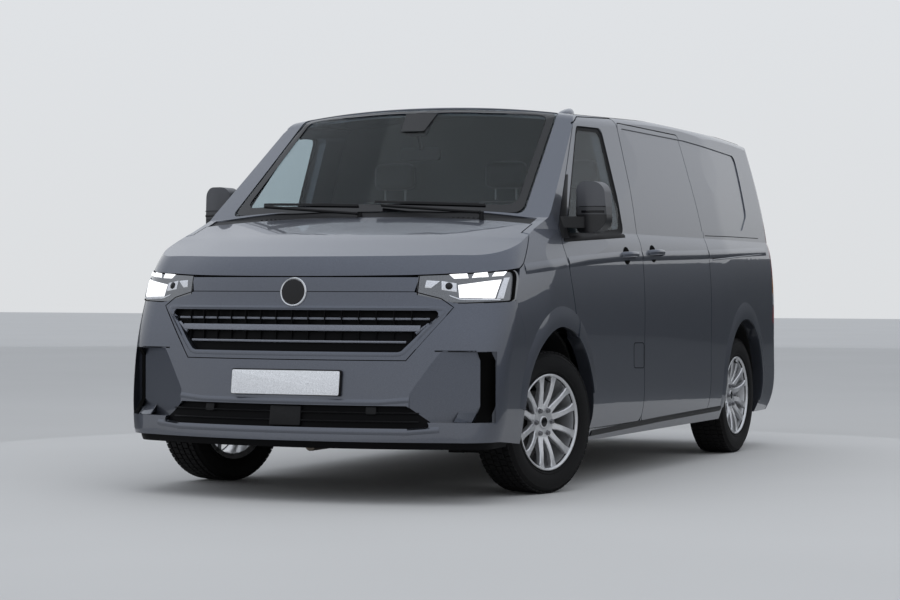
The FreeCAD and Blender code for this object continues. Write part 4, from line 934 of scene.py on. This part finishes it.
def oval(a, b, sides=12):
    turns = [2 * math.pi * k / sides for k in range(sides)]
    return [(a * math.cos(t), b * math.sin(t)) for t in turns]


CUP_SHIFT, CUP_DROP = 0.035, 0.004
CUP_HALF, CUP_RISE = 0.052, 0.046
BAR_STAND, BAR_SINK, BAR_STEPS = 0.040, 0.006, 16


def handle(name, view, a0, a1, b, body):
    """A dark oval of painted shade for the recess, and over it a bar that stands off between two feet sunk into the
    panel.
    """
    middle = (a0 + a1) / 2 - CUP_SHIFT
    turns = [math.radians(t) for t in range(0, 181, 12)]
    rim = [(CUP_HALF * math.cos(t), CUP_RISE * math.sin(t)) for t in turns]
    upper, lower = [[(middle + x, b - CUP_DROP + sign * z) for x, z in rim] for sign in (1, -1)]
    band(name + "_cup", view, upper, lower, gap_and_shade_black, body, (0.0012,) * 6, 0.003)
    points = []
    for i in range(BAR_STEPS + 1):
        t = i / BAR_STEPS
        hit = cast(view, a0 + (a1 - a0) * t, b)
        points.append(hit[0] + hit[1] * (BAR_STAND * (1 - abs(2 * t - 1) ** 4) - BAR_SINK))
    swept(name + "_bar", points, oval(0.0095, 0.0155, 14), paint, body, angle=60)


SIDE_HANDLES = [
    ("handle_front", "front_door_{}", -0.650, -0.450, 1.165, ("left", "right")),
    ("handle_slide", "van_body", -0.225, -0.025, 1.181, ("left",)),
]
KEY_PLATE = [(0.0, -0.002), (0.013, -0.002), (0.013, 0.003), (0.010, 0.005), (0.0, 0.005)]
for label, body, a0, a1, b, which in SIDE_HANDLES:
    for side in which:
        handle("%s_%s" % (label, side), side, a0, a1, b, body.format(side))
for side in ("left", "right"):
    key_place, key_way = cast(side, -0.420, 1.163)
    turned("key_plate_" + side, key_place, key_way, KEY_PLATE, paint, "front_door_" + side, 24)


# Sliding door rail: a steel channel in the side wall with rolled lips, from the
# door's rear edge almost to the tail.

RAIL = [(0.890, 1.171), (1.483, 1.196), (2.030, 1.217)]
ribbon("quarter_seam", "left", [(0.850, 1.294), (1.421, 1.299), (2.060, 1.302)], 0.004, gap_and_shade_black, "van_body",
       (0.0007, 0.0007))
# The channel's inside is a flat dark strip of painted shade, between lips of paint.
ribbon("rail_channel", "left", RAIL, 0.024, gap_and_shade_black, "van_body", (0.0006, 0.0010, 0.0006))
for label, shift in (("rail_lip_high", 0.015), ("rail_lip_low", -0.015)):
    ribbon(label, "left", [(y, z + shift) for y, z in RAIL], 0.008, paint, "van_body", (0.0004, 0.0030, 0.0004))


# Fuel flap: a rounded steel lid, set flush in the left front door's panel on a
# hidden hinge and shown by its shut line.

FLAP = [(p.x, p.y) for p in softened([(-0.507, 0.706), (-0.349, 0.703), (-0.347, 0.570), (-0.505, 0.575)], 0.022)]
ribbon("fuel_flap_line", "left", FLAP, 0.004, gap_and_shade_black, "front_door_left", (0.0007, 0.0007), closed=True)


# Sill strips and roof ditches: grained black plastic is clipped on under the
# doors, and rubber is pressed into the ditches beside the roof panel.

SILL_LINE = [(-1.060, 0.262), (0.0, 0.280), (1.080, 0.290)]
for side in ("left", "right"):
    ribbon("sill_strip_" + side, side, SILL_LINE, 0.030, black_plastic, "van_body",
           (0.0010, 0.0045, 0.0045, 0.0010))
for sign, side in SIDES:
    line = [(sign * 0.7695, -0.80), (sign * 0.770, 1.2), (sign * 0.742, 2.20)]
    ribbon("roof_ditch_" + side, "top", line, 0.016, rubber_black, "van_body", (0.0008, 0.0014, 0.0008))


# Tyres: black road tyres with a raised rim guard on a smooth sidewall, and a
# tread of blocks between grooves. They are pressed onto the rims.

WHEELS = {}
for joint in frame["joints"]:
    if joint["name"].startswith("spin_"):
        hand = 1 if joint["child"].endswith("left") else -1
        WHEELS[joint["child"][len("wheel_"):]] = (Vector(joint["pos_m"]), Vector(joint["axis"]) * hand)
SIDEWALL = [
    (0.217, 0.088), (0.235, 0.0895), (0.246, 0.1010), (0.2475, 0.1035), (0.251, 0.1035), (0.2525, 0.1015),
    (0.262, 0.1065), (0.280, 0.1088), (0.300, 0.1082), (0.3165, 0.1052), (0.3175, 0.1062), (0.3205, 0.1055),
    (0.3215, 0.1038), (0.329, 0.0975), (0.3345, 0.0890),
]
TREAD_BASE = [(0.3365, -0.060), (0.3372, -0.020), (0.3372, 0.020), (0.3365, 0.060)]
INNER_BASE = [(0.224, 0.060), (0.222, 0.0), (0.224, -0.060), (0.217, -0.088)]
CARCASS = [(r, -a) for r, a in SIDEWALL] + TREAD_BASE + SIDEWALL[::-1] + INNER_BASE
TREAD_ROWS = [
    (-0.0800, 0.027, 0.3425, 70), (-0.0400, 0.034, 0.3445, 62), (0.0, 0.030, 0.3446, 70),
    (0.0400, 0.034, 0.3445, 62), (0.0800, 0.027, 0.3425, 70),
]
TREAD_FOOT = 0.3355
tyre_rubber = grained("tyre_rubber", "tyre_rubber", (0.0065, 0.0065, 0.007), 0.75, scale=180.0, strength=0.3,
                      dust=0.03, mirror=0.15)


def circle(radius, height, count=72):
    turns = [2 * math.pi * k / count for k in range(count)]
    return [(radius * math.cos(t), radius * math.sin(t), height) for t in turns]


def joined_mesh(name, meshes):
    """One mesh of several."""
    work = bmesh.new()
    for mesh in meshes:
        work.from_mesh(mesh)
    made = bpy.data.meshes.new(name)
    work.to_mesh(made)
    work.free()
    return made


def wheel_place(centre, out):
    """Matrix whose third axis points out of the wheel and whose first points up."""
    up = Vector((0, 0, 1))
    return Matrix.Translation(centre) @ Matrix((up, out.cross(up), out)).transposed().to_4x4()


for corner, (centre, out) in WHEELS.items():
    parts = []
    for along, width, top, count in TREAD_ROWS:
        pitch = 2 * math.pi * top / count
        block = block_unit(pitch * 0.80, width, top - TREAD_FOOT, 0.0010)
        parts.append(row_mesh(circle(TREAD_FOOT, along), block, count, tyre_rubber, True))
    tread = joined_mesh("tread", parts)
    tread.transform(wheel_place(centre, out))
    ring = turned("tyre_ring_" + corner, centre, out, CARCASS, tyre_rubber, "wheel_" + corner, 96, 28)
    whole = joined_mesh("tyre_" + corner, [ring.data, tread])
    bpy.data.objects.remove(ring)
    tyre = finished("road_tyre_" + corner, whole, tyre_rubber, "wheel_" + corner, 28)
    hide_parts("tyre_" + corner)


# Rims: cast alloy with six forked spokes, held by hexagon bolts round a plain
# centre cap, with a rubber valve between two spokes.

rim_alloy, rim_tree, rim_shader = material("rim_alloy", "rim_alloy")
rim_noise, rim_tone = mottled(rim_tree, 40.0, [(0.3, (0.56, 0.565, 0.58)), (0.7, (0.65, 0.655, 0.67))])
rim_rough = rim_tree.nodes.new("ShaderNodeMapRange")
put(rim_rough, {"To Min": 0.26, "To Max": 0.38})
links(rim_tree, [(rim_noise, "Fac", rim_rough, "Value"), (rim_rough, "Result", rim_shader, "Roughness")])
dusty(rim_tree, rim_shader, rim_tone.outputs["Color"], 0.6, 0.10)
put(rim_shader, {"Metallic": 0.75, "Coat Weight": 0.6, "Coat Roughness": 0.1})
RIM_SECTION = [
    (0.2335, 0.0915), (0.2335, 0.0975), (0.2310, 0.0992), (0.2265, 0.0985), (0.2225, 0.0950), (0.2200, 0.0900),
    (0.2170, 0.0700), (0.2070, 0.0350), (0.2020, -0.0200), (0.2060, -0.0850), (0.2250, -0.0940), (0.2320, -0.0985),
    (0.2335, -0.0930), (0.2240, -0.0880), (0.2140, -0.0800), (0.2090, -0.0200), (0.2120, 0.0350), (0.2220, 0.0700),
    (0.2240, 0.0860), (0.2335, 0.0915),
]
HUB_SECTION = [
    (0.0, 0.030), (0.080, 0.020), (0.085, 0.034), (0.085, 0.052), (0.081, 0.0595), (0.074, 0.0615), (0.034, 0.0620),
    (0.032, 0.0590), (0.0, 0.0590),
]
SPOKE_ROWS = [
    (0.066, 0.014, 0.0215, 0.030, 0.060), (0.088, 0.022, 0.0180, 0.034, 0.065), (0.112, 0.030, 0.0155, 0.042, 0.073),
    (0.150, 0.038, 0.0140, 0.056, 0.083), (0.190, 0.0450, 0.0150, 0.066, 0.0885),
    (0.2130, 0.0490, 0.0215, 0.070, 0.0900), (0.2190, 0.0500, 0.0270, 0.071, 0.0900),
]
BOLT_CIRCLE = 0.062
BOLT_HEAD = [
    (0.0, 0.0), (0.0145, 0.0), (0.0145, 0.002), (0.0112, 0.0035), (0.0112, 0.012), (0.0100, 0.0135), (0.0, 0.0135),
]
CAP_RIM = [
    (0.0, -0.004), (0.031, -0.004), (0.031, 0.003), (0.029, 0.0055), (0.024, 0.0065), (0.0235, 0.005), (0.0, 0.0055),
]
CAP_DISC = [(0.0, 0.002), (0.0232, 0.002), (0.0232, 0.0062), (0.020, 0.0070), (0.0, 0.0078)]
BRAKE_DISC = [(0.0, -0.008), (0.150, -0.008), (0.150, 0.014), (0.082, 0.014), (0.080, 0.040), (0.0, 0.040)]
VALVE = [(0.0, 0.0), (0.006, 0.0), (0.005, 0.020), (0.0035, 0.024), (0.0035, 0.034), (0.0, 0.034)]


def forked_spoke(place, degrees, hand):
    """One arm of a forked spoke. Rows are radius, distance from the fork's middle, half width, back, face."""
    corners = []
    turn = Matrix.Rotation(math.radians(degrees), 4, "Z")
    for radius, aside, half, back, face in SPOKE_ROWS:
        ring = [(-half, back), (half, back), (half, face - 0.005), (half - 0.004, face), (-half + 0.004, face),
                (-half, face - 0.005)]
        corners += [place @ turn @ Vector((radius, hand * aside + side, high)) for side, high in ring]
    return mesh_of("spoke", corners, ring_faces(len(SPOKE_ROWS), len(ring)))


bolt_steel = grained("bolt_steel", "cast_metal", (0.20, 0.20, 0.21), 0.35, strength=0.1, metallic=0.9)
brake_iron = grained("brake_iron", "cast_metal", (0.030, 0.029, 0.028), 0.5, scale=60.0, strength=0.2, dust=0.04,
                     metallic=0.5)
for corner, (centre, out) in WHEELS.items():
    place = wheel_place(centre, out)
    body = "wheel_" + corner
    rounds = [turned("rim_round", centre, out, rows, rim_alloy, body, 96, 30) for rows in (RIM_SECTION, HUB_SECTION)]
    arms = [forked_spoke(place, 60 * i, hand) for i in range(6) for hand in (-1, 1)]
    whole = joined_mesh("rim_" + corner, [piece.data for piece in rounds] + arms)
    for piece in rounds:
        bpy.data.objects.remove(piece)
    rim = finished("alloy_rim_" + corner, whole, rim_alloy, body, 30)
    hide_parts("rim_" + corner)
    for i in range(6):
        t = math.radians(60 * i + 30)
        spot = place @ Vector((BOLT_CIRCLE * math.cos(t), BOLT_CIRCLE * math.sin(t), 0.0610))
        turned("wheel_bolt_%d_%s" % (i + 1, corner), spot, out, BOLT_HEAD, bolt_steel, body, 6, 30)
    hub = centre + out * 0.0600
    turned("cap_rim_" + corner, hub, out, CAP_RIM, rim_alloy, body, 40)
    turned("cap_disc_" + corner, hub, out, CAP_DISC, gloss_black, body, 40)
    turned("brake_disc_" + corner, centre, out, BRAKE_DISC, brake_iron, body, 64)
    turned("valve_" + corner, place @ Vector((0.2085, 0.0, 0.072)), out - place.to_3x3() @ Vector((0.5, 0, 0)), VALVE,
           black_plastic, body, 14)


# Glass and lamps at the rear: dark privacy glass in rubber seals, and tall lamp
# clusters of red, amber and clear bands with fine ribs.

dress(["rear_glass_left", "rear_glass_right"], glassy("privacy_glass", "rear_glass", (0.10, 0.11, 0.12)))
red_lens, lens_tree, lens_shader = material("red_lens", "red_lens")
LENS_RED, LENS_AMBER = (0.36, 0.008, 0.010), (0.60, 0.20, 0.02)
LENS_CLEAR, LENS_SMOKE = (0.50, 0.50, 0.52), (0.05, 0.004, 0.005)
lens_where = by_height(lens_tree, lens_shader, 0.77, 1.40, [
    (0.0, LENS_RED), (0.16, LENS_RED), (0.165, LENS_SMOKE), (0.18, LENS_SMOKE), (0.185, LENS_CLEAR),
    (0.30, LENS_CLEAR), (0.305, LENS_AMBER), (0.46, LENS_AMBER), (0.465, LENS_SMOKE), (0.48, LENS_SMOKE),
    (0.485, LENS_RED), (1.0, LENS_RED),
])
lens_ribs = lens_tree.nodes.new("ShaderNodeTexWave")
lens_ribs.bands_direction = "Z"
put(lens_ribs, {"Scale": 32.0})
lens_bump = lens_tree.nodes.new("ShaderNodeBump")
put(lens_bump, {"Strength": 0.3, "Distance": 0.001})
links(lens_tree, [
    (lens_where, "Object", lens_ribs, "Vector"), (lens_ribs, "Fac", lens_bump, "Height"),
    (lens_bump, "Normal", lens_shader, "Normal"),
])
put(lens_shader, {"Roughness": 0.18, "Coat Weight": 1.0, "Coat Roughness": 0.03})
dress(["tail_lamps"], red_lens)
REAR_SEAL = [(0.118, 1.290), (0.716, 1.290), (0.636, 1.780), (0.118, 1.780)]
REAR_SEAL_INNER = [(0.142, 1.314), (0.688, 1.314), (0.614, 1.756), (0.142, 1.756)]
for sign, side in SIDES:
    leaf = "rear_leaf_" + side
    seal_edges = [divided(softened([(sign * x, z) for x, z in outline], 0.04), 3)
                  for outline in (REAR_SEAL, REAR_SEAL_INNER)]
    band("rear_seal_" + side, "rear", *seal_edges, rubber_black, leaf, (0.0012, 0.0020, 0.0012), 0.003, True)


# Rear doors: a middle seal, one handle with a plain round lock, a high stop
# lamp over the gap, a blank plate and two small plate lamps.

ribbon("rear_middle_seal", "rear", [(0.0, 0.520), (0.0, 1.860)], 0.020, rubber_black, "rear_leaf_left",
       (-0.004, -0.004), depth=0.012, tree=tree_of(["rear_door_left", "rear_door_right"]))
handle_place, handle_way = cast("rear", -0.105, 1.030)
slab("rear_handle_cup", rectangle(0.120, 0.110, 0.02), facing(handle_place - handle_way * 0.001, handle_way),
     0.004, gloss_black, "rear_leaf_right", 0.0015)
BAR_LINE = [
    (-0.050, 0.002, 0.0), (-0.046, 0.010, 0.006), (0.0, 0.0125, 0.010), (0.046, 0.010, 0.006), (0.050, 0.002, 0.0),
]
swept("rear_handle_bar", [handle_place + Vector(p) for p in BAR_LINE], oval(0.007, 0.016), paint, "rear_leaf_right",
      angle=60)
lock_place, lock_way = cast("rear", -0.105, 0.955)
LOCK = [(0.0, -0.002), (0.014, -0.002), (0.014, 0.002), (0.011, 0.004), (0.0, 0.004)]
turned("rear_lock", lock_place, lock_way, LOCK, bright_metal, "rear_leaf_right", 28)
rear_plate_place, rear_plate_way = cast("rear", 0.340, 0.800)
REAR_FLAT = facing(rear_plate_place + rear_plate_way * 0.001, rear_plate_way)
slab("rear_plate_holder", rectangle(0.545, 0.130, 0.012), Matrix.Translation((0, -0.004, 0)) @ REAR_FLAT, 0.010,
     black_plastic, "rear_leaf_left", 0.003)
slab("rear_plate", rectangle(0.520, 0.112, 0.008), Matrix.Translation((0, 0.006, 0)) @ REAR_FLAT, 0.003, plate_white,
     "rear_leaf_left", 0.001)
lamp_bar_place, lamp_bar_way = cast("rear", 0.340, 0.895)
slab("plate_lamp_bar", rectangle(0.400, 0.030, 0.008),
     facing(lamp_bar_place - lamp_bar_way * 0.004, lamp_bar_way), 0.024, paint, "rear_leaf_left", 0.006)
ribbon("high_stop_lamp", "rear", [(-0.160, 1.890), (0.160, 1.890)], 0.018, red_lens, "van_body",
       (0.002, 0.006, 0.002))


# Rear bumper: a step pad with grip ribs, two red reflectors and four round
# parking sensors.

grip_line = [Vector((x / 100, 2.480, 0.4988)) for x in range(-56, 57, 4)]
SENSOR = [(0.0, -0.001), (0.0125, -0.001), (0.0125, 0.0012), (0.011, 0.002), (0.0, 0.0022)]
row("bumper_grips", grip_line, block_unit(0.010, 0.0035, 0.050, 0.001), 48, black_plastic, "van_body")
for sign, side in SIDES:
    line = [(sign * 0.640, 0.360), (sign * 0.800, 0.360)]
    ribbon("rear_reflector_" + side, "rear", line, 0.034, red_lens, "van_body", (0.0005, 0.0030, 0.0030, 0.0005))
    for label, x in (("inner", 0.260), ("outer", 0.590)):
        eye_place, eye_way = cast("rear", sign * x, 0.430)
        turned("parking_sensor_%s_%s" % (label, side), eye_place, eye_way, SENSOR, paint, "van_body", 24)


# Aerial cover: a small fin moulded in body colour. It stands on the roof near
# the front and is screwed on from inside.

AERIAL = [
    (-0.090, 0.006, 0.001), (-0.070, 0.020, 0.010), (-0.035, 0.030, 0.020), (0.010, 0.034, 0.029),
    (0.050, 0.030, 0.034), (0.075, 0.020, 0.032), (0.082, 0.010, 0.012), (0.084, 0.004, 0.002),
]
aerial_place = cast("top", 0.560, -0.330)[0]
aerial_points = [cast("top", aerial_place.x, aerial_place.y + along)[0] for along, half, high in AERIAL]
AERIAL_SIDES = 12
aerial_sections = [[(half * math.cos(math.pi * k / AERIAL_SIDES), high * math.sin(math.pi * k / AERIAL_SIDES) - 0.004)
                    for k in range(AERIAL_SIDES + 1)] for along, half, high in AERIAL]
swept("aerial_cover", aerial_points, aerial_sections, paint, "van_body", angle=60)


# Underbody: painted steel rails and floor, cast suspension arms, a plastic
# tank and a bare steel exhaust, all with dust from the road.

UNDERBODY = [
    ("chassis_metal", (0.009, 0.009, 0.009), 0.7, {"scale": 90.0, "dust": 0.06, "mirror": 0.12},
     ["floor_pan", "front_suspension", "rear_suspension"]),
    ("cast_metal", (0.055, 0.052, 0.050), 0.55, {"scale": 120.0, "strength": 0.5, "dust": 0.25},
     ["knuckle_left", "knuckle_right"]),
    ("engine_metal", (0.16, 0.16, 0.165), 0.45, {"scale": 70.0, "strength": 0.6}, ["engine_block"]),
    ("radiator_metal", (0.07, 0.07, 0.075), 0.4, {"scale": 400.0, "strength": 0.8}, ["radiator_pack"]),
    ("tank_plastic", (0.014, 0.014, 0.014), 0.6, {"dust": 0.25}, ["fuel_tank"]),
    ("exhaust_metal", (0.20, 0.17, 0.14), 0.4, {"scale": 20.0, "strength": 0.1, "dust": 0.2, "metallic": 0.9},
     ["exhaust"]),
]
for name, colour, roughness, finish, names in UNDERBODY:
    dress(names, grained(name, name, colour, roughness, **finish))


# Dashboard: a soft-touch moulding with a hooded display in front of the driver,
# a middle screen, and outlet grilles of thin slats. All displays are dark.

dash_plastic = grained("dash_plastic", "dash_plastic", (0.045, 0.048, 0.052), 0.65, scale=420.0, strength=0.5)
dress(["dashboard"], dash_plastic)
HOOD_MIDDLE, HOOD_HALF, HOOD_RISE = Vector((-0.400, -1.150, 1.235)), 0.19, 0.055
turns = [math.radians(t) for t in range(0, 181, 15)]
hood_line = [HOOD_MIDDLE + Vector((HOOD_HALF * math.cos(t), 0.0, HOOD_RISE * math.sin(t))) for t in turns]
HOOD_SECTION = [(-0.070, -0.004), (0.060, -0.004), (0.070, 0.0), (0.060, 0.006), (-0.070, 0.006)]
swept("display_hood", hood_line, HOOD_SECTION, dash_plastic, "van_body", upward=Vector((0, 1, 0)))
display_black = grained("display_black", "dash_plastic", (0.004, 0.004, 0.005), 0.08, strength=0.0)
slab("driver_display", rectangle(0.290, 0.110, 0.02),
     facing(Vector((-0.400, -1.088, 1.215)), Vector((0, 1, 0.12))), 0.010, display_black, "van_body", 0.003)
slab("middle_display", rectangle(0.300, 0.180, 0.012),
     facing(Vector((0.060, -1.078, 1.150)), Vector((-0.12, 1, 0.15))), 0.014, display_black, "van_body", 0.004)
for label, x in (("far_left", 0.780), ("left", 0.330), ("right", -0.150), ("far_right", -0.780)):
    slats = row_mesh([Vector((0, 0, -0.030)), Vector((0, 0.0001, 0.030))], block_unit(0.004, 0.110, 0.012), 5,
                     lining_black)
    slats.transform(Matrix.Translation((x, -1.0815, 1.105)) @ Matrix.Rotation(math.pi / 2, 4, "Y"))
    finished("air_outlet_" + label, slats, lining_black, "van_body")


# Steering wheel: leather is stitched over the metal frame of its rim and spokes,
# and the hub cover is a plain moulding of the same black.

leather_black = grained("leather_black", "dash_plastic", (0.012, 0.012, 0.013), 0.42, scale=500.0, strength=0.5)
dress(["steering_wheel"], leather_black)


# Bulkhead: a steel wall behind the cab, covered with grained trim panels that
# are clipped on.

lining = grained("lining", "lining", (0.060, 0.062, 0.066), 0.8, scale=300.0, strength=0.5)
dress(["bulkhead"], lining)


# Seats: a driver's seat and a bench for two, of foam under woven cloth with
# sewn channels, on steel boxes. The cushions are inflated by simulation.

seat_fabric, fabric_tree, fabric_shader = material("seat_fabric", "seat_fabric")
fabric_where = fabric_tree.nodes.new("ShaderNodeTexCoord")
warp, weft = fabric_tree.nodes.new("ShaderNodeTexWave"), fabric_tree.nodes.new("ShaderNodeTexWave")
warp.bands_direction, weft.bands_direction = "X", "Z"
for threads in (warp, weft):
    put(threads, {"Scale": 110.0})
    links(fabric_tree, [(fabric_where, "Object", threads, "Vector")])
weave = fabric_tree.nodes.new("ShaderNodeMath")
weave.operation = "MULTIPLY"
links(fabric_tree, [(warp, "Fac", weave, 0), (weft, "Fac", weave, 1)])
fabric_tone = ramp_node(fabric_tree, [(0.0, (0.020, 0.021, 0.024)), (1.0, (0.060, 0.062, 0.068))])
fabric_bump = fabric_tree.nodes.new("ShaderNodeBump")
put(fabric_bump, {"Strength": 0.5, "Distance": 0.0006})
links(fabric_tree, [
    (weave, 0, fabric_tone, "Fac"), (weave, 0, fabric_bump, "Height"),
    (fabric_bump, "Normal", fabric_shader, "Normal"), (fabric_tone, "Color", fabric_shader, "Base Color"),
])
put(fabric_shader, {"Roughness": 0.9, "Sheen Weight": 0.3})
PAD_INSET = 0.006
PAD_VOXEL = 0.012
CHANNEL_HALF = 0.020
CLOTH_FRAMES = 20


def cushion(name, low, high, round_by, swell, channels=()):
    """A foam cushion in a box of space: a rounded block, inflated as cloth and sewn down along its channels."""
    low, high = Vector(low), Vector(high)
    middle = (low + high) / 2
    room = (high - low) / 2
    inset = Vector((PAD_INSET,) * 3)
    work = bmesh.new()
    bmesh.ops.create_cube(work, size=2.0, matrix=Matrix.Translation(middle) @ Matrix.Diagonal((*(room - inset), 1)))
    bmesh.ops.bevel(work, geom=work.edges[:], offset=round_by, segments=4, affect="EDGES", profile=0.5)
    mesh = bpy.data.meshes.new(name)
    work.to_mesh(mesh)
    work.free()
    pad = added(name, mesh)
    skin = pad.modifiers.new("skin", "REMESH")
    skin.mode = "VOXEL"
    skin.voxel_size = PAD_VOXEL
    start = evaluated(pad)
    pad.modifiers.clear()
    pad.data = start
    before = [v.co.copy() for v in start.vertices]
    cloth = pad.modifiers.new("cloth", "CLOTH")
    cloth.settings.use_pressure = True
    cloth.settings.uniform_pressure_force = 4.0
    cloth.settings.effector_weights.gravity = 0.0
    for step in range(1, CLOTH_FRAMES + 1):
        scene.frame_set(step)
    shape = evaluated(pad)
    pad.modifiers.clear()
    pad.data = shape
    scene.frame_set(1)
    mesh = pad.data
    for v, place in zip(mesh.vertices, before):
        shift = v.co - place
        if shift.length > swell:
            v.co = place + shift.normalized() * swell
        for k in range(3):
            v.co[k] = min(max(v.co[k], low[k]), high[k])
        for axis, face, at, depth in channels:
            near, out, across = abs(v.co[axis] - at), 1 if face > 0 else -1, abs(face) - 1
            if near < CHANNEL_HALF and (v.co - middle)[across] * out > 0:
                v.co[across] -= out * depth * (1 - near / CHANNEL_HALF) ** 2
    finer = pad.modifiers.new("finer", "SUBSURF")
    finer.levels = finer.render_levels = 1
    shape = evaluated(pad)
    bpy.data.objects.remove(pad)
    made = finished(name, shape, seat_fabric, "van_body", 180)
    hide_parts("cab_seats")
    return made


SEATS = [("driver", -0.640, -0.160), ("middle", 0.060, 0.459), ("left", 0.461, 0.860)]
POST = [(0.0, 0.0), (0.006, 0.0), (0.006, 0.075), (0.0, 0.075)]
for label, x0, x1 in SEATS:
    cushion("seat_cushion_" + label, (x0, -1.000, 0.762), (x1, -0.440, 0.900), 0.045, 0.016,
            [(0, 3, x0 + 0.085, 0.010), (0, 3, x1 - 0.085, 0.010), (1, 3, -0.560, 0.008)])
    cushion("seat_back_" + label, (x0 + 0.012, -0.500, 0.900), (x1 - 0.012, -0.372, 1.478), 0.045, 0.014,
            [(0, -2, x0 + 0.090, 0.010), (0, -2, x1 - 0.090, 0.010), (2, -2, 1.330, 0.008)])
    head = (x0 + x1) / 2
    cushion("seat_headrest_" + label, (head - 0.125, -0.488, 1.520), (head + 0.125, -0.392, 1.678), 0.035, 0.010,
            ())
    for shift, side in ((-0.060, "right"), (0.060, "left")):
        turned("headrest_post_%s_%s" % (label, side), Vector((head + shift, -0.440, 1.465)), Vector((0, 0, 1)), POST,
               bolt_steel, "van_body", 16)
for label, x0, x1 in (("driver", -0.640, -0.160), ("bench", 0.060, 0.860)):
    x0, x1 = x0 + 0.060, x1 - 0.060
    slab("seat_box_" + label, [(x0, -0.940), (x1, -0.940), (x1, -0.480), (x0, -0.480)],
         Matrix.Translation((0, 0, 0.4705)), 0.291, lining_black, "van_body", 0.012, 3)
